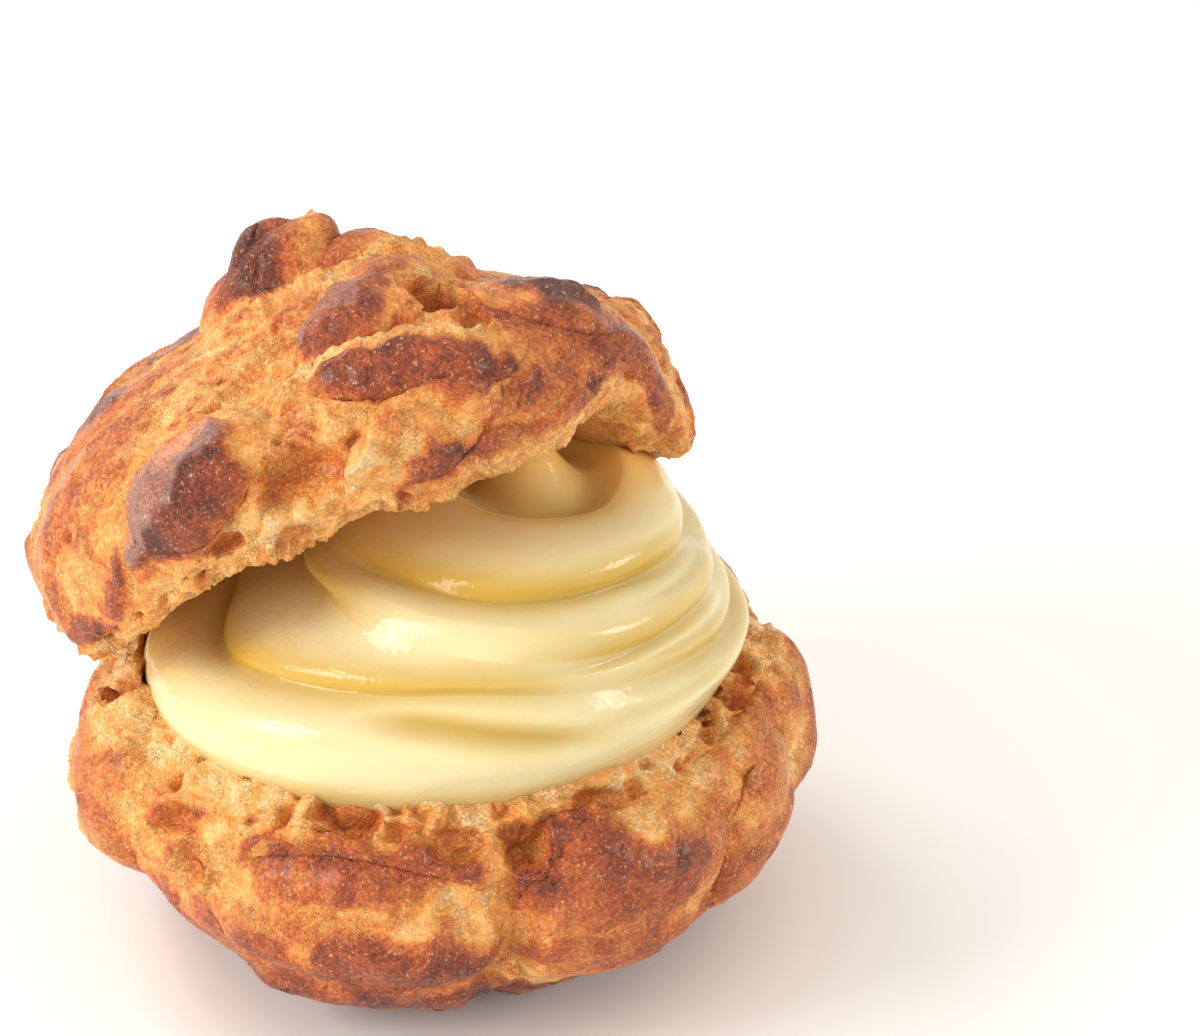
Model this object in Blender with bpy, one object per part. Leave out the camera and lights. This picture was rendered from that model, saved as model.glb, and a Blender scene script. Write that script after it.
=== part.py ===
"""Cream puff: a choux bun cut in two, a piped swirl of custard cream in its lower half, the lid tipped back on top.

Lengths are in millimetres until a mesh is made. The viewer is on the -Y side, +X is to the viewer's right, and the
origin is on the table under the middle of the puff. A bearing is in degrees round a piece's axis, 0 at the front
and growing to the right.
"""

import math
from dataclasses import dataclass

import bmesh
import bpy
import numpy as np
from mathutils import Euler, Matrix

METRES = 0.001

# Driving sizes
BUN_RADIUS = 39.4  # the widest ring of the lower half, under its blisters
BUN_HEIGHT = 33.0  # its torn rim above the table
LID_RADIUS = 37.2
LID_HEIGHT = 25.0
CLEARANCE = 0.4  # between the cream and each half of the bun
RIM_CLEARANCE = 0.5  # more of it where the cream bends over the rim
LID_CLEARANCE = 0.55

# The lower half
FOOT_RADIUS = 0.36 * BUN_RADIUS  # the flat spot that it stands on
BELLY_HEIGHT = 0.60 * BUN_HEIGHT
CRUST_EDGE_RADIUS = 0.925 * BUN_RADIUS
CRUST_EDGE_HEIGHT = 0.90 * BUN_HEIGHT
CREST_RADIUS = 0.85 * BUN_RADIUS
TORN_BULGE = 0.4
HOLLOW_FLOOR = 0.25 * BUN_HEIGHT
HOLLOW_POWER = 3.2  # how suddenly the hollow's floor turns up into its wall
HOLLOW_SLOPE = 1.6
BUN_WAVES = ((1, 2.3, 110.0), (3, 0.8, 30.0))  # of its rim: waves in a round, height, bearing of a crest
BUN_HEART = (0.0, 0.0, BELLY_HEIGHT)  # blisters are placed as seen from here

# The lid, in its own frame: its axis is Z and its torn rim lies about Z = 0
LID_BELT_HEIGHT = 0.27 * LID_HEIGHT
LID_RIM_RADIUS = 0.94 * LID_RADIUS
LID_LEDGE_RADIUS = 0.80 * LID_RADIUS
LID_LEDGE_RISE = 0.6
LID_HOLLOW = 0.36 * LID_HEIGHT
LID_WAVES = ((1, 1.6, 20.0), (2, 1.7, 10.0))
LID_HEART = (0.0, 0.0, 0.0)
LID_PLACE = (-7.0, 3.0, 48.6)  # its rim rests on the left and back of the lower half
LID_ROLL = -23.0  # degrees about Y: the right side is up
LID_PITCH = -22.0  # degrees about X: the front is up

# The cream's coil, from the rim of the lower half up to the lid
COIL_TURNS = (-0.5, 4.4)  # its first half turn is sunk in the hollow
COIL_BEARING = -150.0  # where turn 0 starts
COIL_FOOT = (-0.6, -1.0, 35.0)  # the middle of turn 0
COIL_LEAN = (3.8, 0.0, 7.6)  # the rise of one turn
COIL_WIDE_TURNS = 0.45  # before it starts to narrow
COIL_NARROWING = (-9.6, 0.3)  # a turn, and a turn squared
COIL_STEP = 1.6  # between the balls that it is made of
COIL_BLEND = 0.45  # how softly its turns run together
RING_RADIUS = 0.9 * BUN_RADIUS  # outside its widest turn
TIP_RING_RADIUS = 7.5
ROPE_RADIUS = 7.6
ROPE_TIP_RADIUS = 5.0
HEAP_RADIUS = 30.0  # the cream under the coil
HEAP_TOP = 40.0
CREAM_HEART = (1.0, -1.0, 38.0)
CREAM_FAR = 60.0  # from its heart, outside all of the cream

CENTRING = (1.5, 0.5, 0.0)

# Facets
SECTORS = 58
CREAM_SECTORS = 64
CREAM_RINGS = ((-90, -18, 8), (-18, 0, 8), (0, 40, 13), (40, 90, 6))  # elevations from, to, and how many rings
CREAM_CLIMB = 22.0  # how far the heart climbs with the coil in the third group
DRAW_STEPS = 90
DRAW_SHARE = 0.6


@dataclass(frozen=True)
class Blister:
    """A swollen scale of crust, placed as seen from the piece's heart.

    length runs round the bun before the blister is turned by turn degrees.
    """

    bearing: float
    elevation: float
    length: float
    width: float
    turn: float
    rise: float


BUN_BLISTERS = (
    Blister(-12, 2, 34, 14, -4, 2.4),
    Blister(-12, -18, 32, 13, 6, 1.0),
    Blister(34, 0, 28, 20, 12, 2.4),
    Blister(66, -2, 20, 14, 40, 2.0),
    Blister(88, 8, 22, 16, 70, 2.2),
    Blister(-70, 6, 24, 17, -75, 2.2),
    Blister(150, 4, 30, 18, 15, 1.8),
    Blister(-140, -2, 26, 20, -20, 1.8),
)
LID_BLISTERS = (
    Blister(40, 84, 18, 24, 0, 8.0),
    Blister(66, 27, 16, 15, 0, 1.4),
    Blister(30, 26, 24, 10, 8, 2.0),
    Blister(-13, 20, 18, 14, 30, 2.4),
    Blister(26, 11, 18, 9, 15, 1.6),
    Blister(-52, 17, 26, 16, 50, 1.2),
    Blister(150, 28, 24, 16, -20, 1.4),
    Blister(-130, 30, 26, 18, 25, 2.0),
)


def ring_point(bearing, reach, height):
    """The point at this bearing, distance from the axis and height."""
    angle = np.radians(bearing)
    return np.stack([reach * np.sin(angle), -reach * np.cos(angle), height * np.ones_like(angle)], axis=-1)


def reach_of(points):
    return np.hypot(points[:, 0], points[:, 1])


def wave(waves, points, radius):
    """How far the piece's waves lift these points: most at its rim, nothing on its axis."""
    bearing = np.degrees(np.arctan2(points[:, 0], -points[:, 1]))
    lift = sum(rise * np.cos(np.radians(count * (bearing - crest))) for count, rise, crest in waves)
    return lift * np.clip(reach_of(points) / radius, 0, 1.2) ** 3


def quarter(start, end, steps, upright_first):
    """Points on a quarter ellipse from start to end, without start."""
    (r0, z0), (r1, z1) = start, end
    points = []
    for i in range(1, steps + 1):
        sine = math.sin(math.radians(90 * i / steps))
        rest = 1 - math.cos(math.radians(90 * i / steps))
        across, up = (rest, sine) if upright_first else (sine, rest)
        points.append((r0 + (r1 - r0) * across, z0 + (z1 - z0) * up))
    return points


def hollow_height(reach):
    """The floor and wall of the lower half's hollow."""
    share = np.clip(reach / CREST_RADIUS, 0, 1)
    return HOLLOW_FLOOR + (BUN_HEIGHT - HOLLOW_FLOOR) * share**HOLLOW_POWER


def ceiling_height(reach):
    """The lid's torn ledge and its hollow underside, in the lid's frame."""
    share = np.clip(reach / LID_LEDGE_RADIUS, 0, 1)
    ledge = np.clip((LID_RIM_RADIUS - reach) / (LID_RIM_RADIUS - LID_LEDGE_RADIUS), 0, 1)
    return LID_HOLLOW * (1 - share**2) + LID_LEDGE_RISE * ledge


def bun_profile():
    """The lower half's outline, from the middle of its foot, up the outside and down into the hollow."""
    foot = [(FOOT_RADIUS * i / 3, 0.0) for i in range(4)]
    belly = quarter(foot[-1], (BUN_RADIUS, BELLY_HEIGHT), 7, upright_first=False)
    shoulder = quarter(belly[-1], (CRUST_EDGE_RADIUS, CRUST_EDGE_HEIGHT), 5, upright_first=True)
    torn = ((CRUST_EDGE_RADIUS + CREST_RADIUS) / 2, (CRUST_EDGE_HEIGHT + BUN_HEIGHT) / 2 + TORN_BULGE)
    wall = [CREST_RADIUS * (1 - (i / 10) ** 1.3) for i in range(11)]
    return foot + belly + shoulder + [torn] + [(r, float(hollow_height(r))) for r in wall]


def lid_profile():
    """The lid's outline, from its top, down the outside and in along the torn rim and the hollow."""
    belt = (LID_RADIUS, LID_BELT_HEIGHT)
    dome = quarter(belt, (0.0, LID_HEIGHT), 13, upright_first=True)[::-1]
    tuck = quarter((LID_RIM_RADIUS, 0.0), belt, 3, upright_first=False)[::-1][1:]
    inside = [(LID_RIM_RADIUS + LID_LEDGE_RADIUS) / 2] + [LID_LEDGE_RADIUS * (1 - i / 6) for i in range(7)]
    return dome + [belt] + tuck + [(LID_RIM_RADIUS, 0.0)] + [(r, float(ceiling_height(r))) for r in inside]


def turned(profile, sectors):
    """A bmesh of the profile spun round Z, closed on the axis at both ends."""
    bm = bmesh.new()
    verts = [bm.verts.new((0.0, -r, z)) for r, z in profile]
    edges = [bm.edges.new(pair) for pair in zip(verts, verts[1:])]
    bmesh.ops.spin(
        bm, geom=verts + edges, cent=(0, 0, 0), axis=(0, 0, 1), angle=math.tau, steps=sectors, use_merge=True
    )
    bmesh.ops.remove_doubles(bm, verts=bm.verts, dist=0.001)
    bmesh.ops.recalc_face_normals(bm, faces=bm.faces)
    bm.normal_update()
    return bm


def points_of(bm):
    return np.array([v.co for v in bm.verts])


def put_points(bm, points):
    for vert, point in zip(bm.verts, points):
        vert.co = point


def swell(bm, blisters, heart):
    """Moves the outside of a piece outwards where it has blisters."""
    points = points_of(bm)
    normals = np.array([v.normal for v in bm.verts])
    away = points - heart
    skin = np.clip(2 * (normals * away).sum(axis=1) / np.linalg.norm(away, axis=1), 0, 1)
    rise = np.zeros(len(points))
    for blister in blisters:
        tilt, turn = math.radians(blister.elevation), math.radians(blister.turn)
        out = ring_point(blister.bearing, math.cos(tilt), math.sin(tilt))
        around = ring_point(blister.bearing + 90, 1.0, 0.0)
        up = np.cross(around, -out)
        along = around * math.cos(turn) + up * math.sin(turn)
        across = up * math.cos(turn) - around * math.sin(turn)
        spread = (away @ along / (blister.length / 2)) ** 2 + (away @ across / (blister.width / 2)) ** 2
        share = np.where(away @ out > 0, np.clip(1 - spread, 0, 1), 0)
        rise = np.maximum(rise, blister.rise * skin * share * (2 - share))
    put_points(bm, points + normals * rise[:, None])


def lower_half():
    """The bowl of the bun, standing on its foot."""
    bm = turned(bun_profile(), SECTORS)
    swell(bm, BUN_BLISTERS, BUN_HEART)
    points = points_of(bm)
    points[:, 2] += wave(BUN_WAVES, points, BUN_RADIUS) * np.clip(points[:, 2] / BUN_HEIGHT, 0, 1)
    points[:, 2] = np.maximum(points[:, 2], 0)
    put_points(bm, points)
    return bm


def lid_matrix():
    """From the lid's frame to the puff's."""
    turn = Euler((math.radians(LID_PITCH), math.radians(LID_ROLL), 0.0), "XYZ").to_matrix().to_4x4()
    return Matrix.Translation(LID_PLACE) @ turn


def lid():
    """The cap of the bun, tipped into its place."""
    bm = turned(lid_profile(), SECTORS)
    swell(bm, LID_BLISTERS, LID_HEART)
    points = points_of(bm)
    points[:, 2] += wave(LID_WAVES, points, LID_RADIUS) * np.clip(1 - points[:, 2] / LID_HEIGHT, 0, 1)
    put_points(bm, points)
    bm.transform(lid_matrix())
    return bm


def coil():
    """The middles and radii of the balls along the coil."""
    turns = np.linspace(*COIL_TURNS, 4000)
    drawn_in = np.clip(turns - COIL_WIDE_TURNS, 0, None)
    outer = RING_RADIUS + COIL_NARROWING[0] * drawn_in + COIL_NARROWING[1] * drawn_in**2
    rope = np.interp(turns, COIL_TURNS, (ROPE_RADIUS, ROPE_TIP_RADIUS))
    line = ring_point(COIL_BEARING + 360 * turns, np.maximum(outer, TIP_RING_RADIUS) - rope, 0.0)
    line += COIL_FOOT + np.outer(turns, COIL_LEAN)
    steps = np.concatenate([[0], np.cumsum(np.linalg.norm(np.diff(line, axis=0), axis=1))])
    marks = np.arange(0, steps[-1], COIL_STEP)
    return np.stack([np.interp(marks, steps, line[:, k]) for k in range(3)], axis=1), np.interp(marks, steps, rope)


def swirl_field(points, balls, radii):
    """Below zero within the coil and the heap of cream under it."""
    away = np.linalg.norm(points[:, None] - balls[None], axis=2) - radii[None]
    near = away.min(axis=1)
    blend = np.log(np.exp((near[:, None] - away) / COIL_BLEND).sum(axis=1)) - 1
    heap = np.maximum(reach_of(points) - HEAP_RADIUS, points[:, 2] - HEAP_TOP)
    return np.minimum(near - COIL_BLEND * blend, heap)


def hollow_field(points):
    """Below zero clear above the lower half's hollow and rim."""
    share = np.clip(reach_of(points) / CREST_RADIUS, 0, 1)
    spare = CLEARANCE + RIM_CLEARANCE * share**8
    height = hollow_height(reach_of(points)) + wave(BUN_WAVES, points, BUN_RADIUS) + spare
    return (height - points[:, 2]) / np.hypot(1, HOLLOW_SLOPE * share**2)


def ceiling_field(points, to_lid):
    """Below zero clear beneath the lid."""
    local = points @ to_lid[:3, :3].T + to_lid[:3, 3]
    return local[:, 2] - ceiling_height(reach_of(local)) - wave(LID_WAVES, local, LID_RADIUS) + LID_CLEARANCE


def cream():
    """The cream, from a ball whose points are drawn in towards its heart until they meet the cream's limits."""
    rises = np.radians(np.concatenate([np.linspace(a, b, n + 1)[:-1] for a, b, n in CREAM_RINGS] + [[90]]))
    bm = turned(list(zip(np.cos(rises), np.sin(rises))), CREAM_SECTORS)
    rays = points_of(bm)
    elevation = np.degrees(np.arcsin(np.clip(rays[:, 2], -1, 1)))
    climb = np.interp(elevation, CREAM_RINGS[2][:2], (0, CREAM_CLIMB)) / COIL_LEAN[2]
    hearts = CREAM_HEART + np.outer(climb, COIL_LEAN)
    balls, radii = coil()
    to_lid = np.array(lid_matrix().inverted())
    reach = np.full(len(rays), CREAM_FAR)
    for _ in range(DRAW_STEPS):
        points = hearts + rays * reach[:, None]
        limits = swirl_field(points, balls, radii), hollow_field(points), ceiling_field(points, to_lid)
        reach -= DRAW_SHARE * np.max(limits, axis=0)
    put_points(bm, hearts + rays * reach[:, None])
    return bm


def material(name, colour, roughness):
    made = bpy.data.materials.new(name)
    made.use_nodes = True
    shader = made.node_tree.nodes["Principled BSDF"]
    shader.inputs["Base Color"].default_value = (*colour, 1.0)
    shader.inputs["Roughness"].default_value = roughness
    shader.inputs["Metallic"].default_value = 0.0
    return made


def finish(bm, name, made):
    """An object in metres from a bmesh in millimetres, with the middle of the puff's outline over the origin."""
    bm.transform(Matrix.Scale(METRES, 4) @ Matrix.Translation(CENTRING))
    mesh = bpy.data.meshes.new(name)
    bm.to_mesh(mesh)
    bm.free()
    mesh.materials.append(made)
    mesh.shade_smooth()
    node = bpy.data.objects.new(name, mesh)
    bpy.context.scene.collection.objects.link(node)


def main():
    for old in list(bpy.data.objects):
        bpy.data.objects.remove(old)
    finish(lower_half(), "base_shell", material("choux_base", (0.48, 0.21, 0.07), 0.6))
    finish(cream(), "cream_filling", material("custard_cream", (0.84, 0.62, 0.27), 0.3))
    finish(lid(), "lid_shell", material("choux_lid", (0.44, 0.17, 0.06), 0.55))


main()
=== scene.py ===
"""The looks of a cream puff: a choux bun cut in two, custard cream piped between its halves.

Each half of the bun is a skin of rings about its axis. It is swollen into blisters and covered with browned
plates of crust, and it is torn, pitted and crumbly between them. The cream is a skin of rings too, drawn
through its piped folds. Lengths are in millimetres until a mesh is made. The viewer is on the -Y side and +X
is to the viewer's right. A bearing is in degrees round a piece's axis, 0 at the front and growing rightwards.
"""

import logging
import math
from dataclasses import dataclass
from enum import Enum
from functools import cached_property

import bpy
import numpy as np
from mathutils import Euler, Matrix, Vector


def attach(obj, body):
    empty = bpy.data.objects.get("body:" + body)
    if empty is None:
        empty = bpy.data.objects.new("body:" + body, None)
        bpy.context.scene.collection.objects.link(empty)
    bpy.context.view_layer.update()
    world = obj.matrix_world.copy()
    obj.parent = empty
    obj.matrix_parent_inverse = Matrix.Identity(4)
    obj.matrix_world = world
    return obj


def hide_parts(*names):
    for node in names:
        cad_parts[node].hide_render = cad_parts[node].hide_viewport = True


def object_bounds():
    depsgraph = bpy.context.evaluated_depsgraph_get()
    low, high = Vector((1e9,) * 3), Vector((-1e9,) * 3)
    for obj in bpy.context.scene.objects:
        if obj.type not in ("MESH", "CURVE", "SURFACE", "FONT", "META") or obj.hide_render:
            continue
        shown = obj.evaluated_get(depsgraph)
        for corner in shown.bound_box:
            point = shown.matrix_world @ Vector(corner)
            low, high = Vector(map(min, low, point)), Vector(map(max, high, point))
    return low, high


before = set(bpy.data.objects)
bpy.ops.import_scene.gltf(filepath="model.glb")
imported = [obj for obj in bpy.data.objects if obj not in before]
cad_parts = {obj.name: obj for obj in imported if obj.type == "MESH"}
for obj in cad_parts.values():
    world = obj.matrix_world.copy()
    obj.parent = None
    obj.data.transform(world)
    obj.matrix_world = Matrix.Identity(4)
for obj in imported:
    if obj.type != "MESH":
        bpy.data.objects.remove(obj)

Colour = tuple[float, float, float]
Marks = dict[str, np.ndarray]

LOG = logging.getLogger("cream_puff")
CAD_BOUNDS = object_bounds()
BODY = "root"

# The puff's own scale and middle, from the frame: every size below is for a puff this wide.
DESIGN_WIDTH = 85.7
MM = (CAD_BOUNDS[1].x - CAD_BOUNDS[0].x) / DESIGN_WIDTH
MIDDLE = np.array([1.5, 0.5, 0.0])  # from a half's own axis to the frame's origin


def ring_point(bearing: np.ndarray, reach: np.ndarray, height: np.ndarray) -> np.ndarray:
    """Places points round a vertical axis.

    Args:
        bearing: Degrees round the axis.
        reach: Distance from the axis.
        height: Height along the axis.

    Returns:
        The points, one more dimension than the arguments.
    """
    angle = np.radians(bearing)
    across, out = reach * np.sin(angle), -reach * np.cos(angle)
    return np.stack(np.broadcast_arrays(across, out, height), axis=-1)


def bearing_of(points: np.ndarray) -> np.ndarray:
    """Bearings of points about the axis, in degrees."""
    return np.degrees(np.arctan2(points[..., 0], -points[..., 1]))


def reach_of(points: np.ndarray) -> np.ndarray:
    """Distances of points from the axis."""
    return np.hypot(points[..., 0], points[..., 1])


def eased(low: float, high: float, value: np.ndarray) -> np.ndarray:
    """A share that rises smoothly from 0 at low to 1 at high."""
    share = np.clip((value - low) / (high - low), 0, 1)
    return share * share * (3 - 2 * share)


def near_bearing(bearing: np.ndarray, middle: float, spread: float) -> np.ndarray:
    """A share that is 1 at the middle bearing and falls away over spread degrees."""
    apart = (bearing - middle + 180) % 360 - 180
    return np.exp(-((apart / spread) ** 2))


@dataclass(frozen=True)
class Noise:
    """Random patterns in space that are the same on every run."""

    seed: int

    @cached_property
    def order(self) -> np.ndarray:
        """A shuffled run of the numbers below 256."""
        return np.random.default_rng(self.seed).permutation(256)

    @cached_property
    def slopes(self) -> np.ndarray:
        """256 directions."""
        made = np.random.default_rng(self.seed + 1).normal(size=(256, 3))
        return made / np.linalg.norm(made, axis=1, keepdims=True)

    def corner(self, cell: np.ndarray) -> np.ndarray:
        """A number below 256 for each whole-numbered cell.

        Args:
            cell: Three whole numbers for each cell.

        Returns:
            The numbers, the same for a cell on every run.
        """
        first = self.order[cell[..., 0] & 255]
        second = self.order[(first + cell[..., 1]) & 255]
        return self.order[(second + cell[..., 2]) & 255]

    def smooth(self, points: np.ndarray, size: float) -> np.ndarray:
        """Soft lumps.

        Args:
            points: Where to read the pattern.
            size: About how wide a lump is.

        Returns:
            Values from about -1 to 1.
        """
        place = points / size
        cell = np.floor(place).astype(np.int64)
        part = place - cell
        fade = part**3 * (part * (part * 6 - 15) + 10)
        total = np.zeros(points.shape[:-1])
        for step in np.ndindex(2, 2, 2):
            share = np.prod(np.where(np.array(step) == 1, fade, 1 - fade), axis=-1)
            slope = self.slopes[self.corner(cell + step)]
            total += share * (slope * (part - step)).sum(axis=-1)
        return total * 1.5

    def layered(self, points: np.ndarray, size: float, layers: int, fall: float = 0.5) -> np.ndarray:
        """Lumps with finer lumps on them.

        Args:
            points: Where to read the pattern.
            size: Width of the widest lumps.
            layers: How many sizes of lump, each half the last.
            fall: How high each size is against the last.

        Returns:
            Values from about -1 to 1.
        """
        total = sum(fall**k * self.smooth(points + 31.7 * k, size / 2**k) for k in range(layers))
        return total / sum(fall**k for k in range(layers))

    def ridged(self, points: np.ndarray, size: float, layers: int) -> np.ndarray:
        """Sharp creased ridges, 1 on a crest and 0 far from one.

        Args:
            points: Where to read the pattern.
            size: About how far apart the widest ridges are.
            layers: How many sizes of ridge, each half the last.

        Returns:
            Values from 0 far from a crest to 1 on one.
        """
        fall, apart, sharpness = 0.55, 17.3, 3
        total = 0.0
        for k in range(layers):
            total += fall**k * (1 - np.abs(self.smooth(points + apart * k, size / 2**k))) ** sharpness
        return total / sum(fall**k for k in range(layers))

    def push(self, points: np.ndarray, size: float, amount: float) -> np.ndarray:
        """Shifts of up to about amount in each direction."""
        return amount * np.stack([self.smooth(points + 53.1 * k, size) for k in range(3)], axis=-1)

    def cells(self, points: np.ndarray, size: float) -> tuple[np.ndarray, np.ndarray, np.ndarray]:
        """Scattered seeds.

        Args:
            points: Where to read the pattern.
            size: About how far apart the seeds are.

        Returns:
            Distance to the nearest seed, to the next nearest, and a random share for the nearest.
        """
        place = points / size
        cell = np.floor(place).astype(np.int64)
        best = np.full(points.shape[:-1], 9.0)
        second = best.copy()
        share = np.zeros(points.shape[:-1])
        for step in np.ndindex(3, 3, 3):
            home = cell + np.array(step) - 1
            mark = self.corner(home)
            seed = home + 0.5 + 0.42 * self.slopes[mark]
            away = np.linalg.norm(place - seed, axis=-1)
            nearer = away < best
            second = np.where(nearer, best, np.minimum(second, away))
            share = np.where(nearer, self.order[mark] / 255, share)
            best = np.minimum(best, away)
        return best * size, second * size, share


@dataclass(frozen=True)
class Patch:
    """An oval on a piece, placed as seen from the piece's heart. Unturned, its length runs round the bun."""

    bearing: float
    elevation: float
    length: float
    width: float
    turn: float

    def across(self, away: np.ndarray) -> tuple[np.ndarray, np.ndarray, np.ndarray]:
        """Where points are on the oval.

        Args:
            away: The points, from the piece's heart.

        Returns:
            How far along its length and across its width they are, 1 on the outline, and whether they are on
            its side of the heart.
        """
        tilt, turn = math.radians(self.elevation), math.radians(self.turn)
        out = ring_point(self.bearing, math.cos(tilt), math.sin(tilt))
        around = ring_point(self.bearing + 90, 1.0, 0.0)
        up = np.cross(around, -out)
        along = around * math.cos(turn) + up * math.sin(turn)
        across = up * math.cos(turn) - around * math.sin(turn)
        return away @ along / (self.length / 2), away @ across / (self.width / 2), away @ out > 0

    def spread(self, away: np.ndarray, squareness: float = 2.0) -> np.ndarray:
        """How far points are from the oval's middle.

        Args:
            away: The points, from the piece's heart.
            squareness: 2 for an oval, more for a squarer one.

        Returns:
            0 at the middle, 1 on the outline, and large on the far side of the heart.
        """
        far, wide, near = self.across(away)
        apart = (np.abs(far) ** squareness + np.abs(wide) ** squareness) ** (1 / squareness)
        return np.where(near, apart, 9.0)


@dataclass(frozen=True)
class Blister(Patch):
    """A broad swelling, or a dip where rise is below zero."""

    rise: float


@dataclass(frozen=True)
class Plate(Patch):
    """A scale of crust that stands clear of the crumb round it and browned most along its crest."""

    rise: float
    browning: float
    gloss: float = 0.3
    crest: float = 0.35  # where the crest lies across its width, from -1 at the lower edge to 1 at the upper
    blend: float = 0.5  # the share of the browning left at its upper edge

    def tent(self, far: np.ndarray, wide: np.ndarray) -> np.ndarray:
        """How near points are to the crest.

        Args:
            far: How far along the plate they are.
            wide: How far across it they are.

        Returns:
            1 on the crest and 0 on the outline.
        """
        wide = wide / np.sqrt(np.clip(1 - np.abs(far) ** 2.4, 0.06, 1))
        share = np.where(wide > self.crest, (1 - wide) / (1 - self.crest), (1 + wide) / (1 + self.crest))
        return np.clip(share, 0, 1)


@dataclass(frozen=True)
class Pit(Patch):
    """A hole where a bubble broke."""

    depth: float
    # How dark its inside is made: its browning, deepened as painted shade.
    browning: float = 0.4


@dataclass(frozen=True)
class Fissure(Patch):
    """A pale, stringy stretch where the crust split while it rose."""

    depth: float


@dataclass(frozen=True)
class Tan(Patch):
    """A broad soft stretch that browned more than the rest, or less where amount is below zero."""

    amount: float


@dataclass(frozen=True)
class Droop:
    """A stretch of torn rim that hangs lower than the rest, or stands higher where drop is below zero."""

    bearing: float
    spread: float
    drop: float

    def at(self, bearing: np.ndarray) -> np.ndarray:
        """How far it brings the rim down at each bearing."""
        return self.drop * near_bearing(bearing, self.bearing, self.spread)


@dataclass(frozen=True)
class Stretch:
    """A length of outline with its own spacing of rings."""

    points: tuple[tuple[float, float], ...]
    spacing: float


def quarter(
    start: tuple[float, float], end: tuple[float, float], upright_first: bool
) -> list[tuple[float, float]]:
    """Points on a quarter ellipse.

    Args:
        start: Reach and height of its start.
        end: Reach and height of its end.
        upright_first: Whether it leaves its start straight up or down.

    Returns:
        The points, with both ends.
    """
    (r0, z0), (r1, z1) = start, end
    made = []
    for angle in np.linspace(0, math.pi / 2, 60):
        sine, rest = math.sin(angle), 1 - math.cos(angle)
        across, rise = (rest, sine) if upright_first else (sine, rest)
        made.append((r0 + (r1 - r0) * across, z0 + (z1 - z0) * rise))
    return made


def ring_outline(stretches: list[Stretch]) -> np.ndarray:
    """Spaces rings along an outline.

    Args:
        stretches: The outline's lengths in order, each starting where the last one ends.

    Returns:
        Reach and height of each ring, from one end of the outline to the other.
    """
    line, pace = [], []
    for stretch in stretches:
        points = np.array(stretch.points)
        line.append(points[1:] if line else points)
        steps = np.linalg.norm(np.diff(points, axis=0), axis=1) / stretch.spacing
        pace.append(steps)
    line = np.concatenate(line)
    marks = np.concatenate([[0], np.cumsum(np.concatenate(pace))])
    wanted = np.linspace(0, marks[-1], int(round(marks[-1])) + 1)
    return np.stack([np.interp(wanted, marks, line[:, k]) for k in range(2)], axis=1)


def grid_normals(points: np.ndarray) -> np.ndarray:
    """Directions straight out of a skin of rings.

    Args:
        points: The skin, rings by sectors by three.

    Returns:
        Unit directions in the same shape.
    """
    around = np.roll(points, -1, axis=1) - np.roll(points, 1, axis=1)
    along = np.gradient(points, axis=0)
    made = np.cross(around, along)
    return made / np.maximum(np.linalg.norm(made, axis=-1, keepdims=True), 1e-9)


def skin_mesh(name: str, points: np.ndarray, marks: Marks) -> bpy.types.Object:
    """Makes an object from a skin of rings whose first and last rings have shrunk to points.

    Args:
        name: The object's name.
        points: The skin in millimetres, rings by sectors by three.
        marks: Values from 0 to 1 to keep at each point, by name.

    Returns:
        The object, in metres and in the frame.
    """
    rings, sectors = points.shape[:2]
    inner = points[1:-1].reshape(-1, 3)
    ends = np.stack([points[0].mean(axis=0), points[-1].mean(axis=0)])
    verts = (np.concatenate([inner, ends]) + MIDDLE) * MM
    index = np.arange((rings - 2) * sectors).reshape(rings - 2, sectors)
    after = np.roll(index, -1, axis=1)
    quads = np.stack([index[:-1], after[:-1], after[1:], index[1:]], axis=-1).reshape(-1, 4)
    first, last = len(inner), len(inner) + 1
    fans = [
        np.stack([after[0], index[0], np.full(sectors, first)], axis=-1),
        np.stack([index[-1], after[-1], np.full(sectors, last)], axis=-1),
    ]
    corners = np.concatenate([quads.ravel(), *[fan.ravel() for fan in fans]])
    sizes = np.concatenate([np.full(len(quads), 4), np.full(2 * sectors, 3)])
    mesh = bpy.data.meshes.new(name)
    mesh.vertices.add(len(verts))
    mesh.vertices.foreach_set("co", verts.astype(np.float32).ravel())
    mesh.loops.add(len(corners))
    mesh.loops.foreach_set("vertex_index", corners.astype(np.int32))
    mesh.polygons.add(len(sizes))
    mesh.polygons.foreach_set("loop_start", (np.cumsum(sizes) - sizes).astype(np.int32))
    mesh.update(calc_edges=True)
    for mark, values in marks.items():
        kept = np.concatenate([values[1:-1].ravel(), [values[0].mean(), values[-1].mean()]])
        mesh.attributes.new(mark, "FLOAT", "POINT").data.foreach_set("value", kept.astype(np.float32))
    mesh.shade_smooth()
    made = bpy.data.objects.new(name, mesh)
    bpy.context.scene.collection.objects.link(made)
    return made


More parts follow.
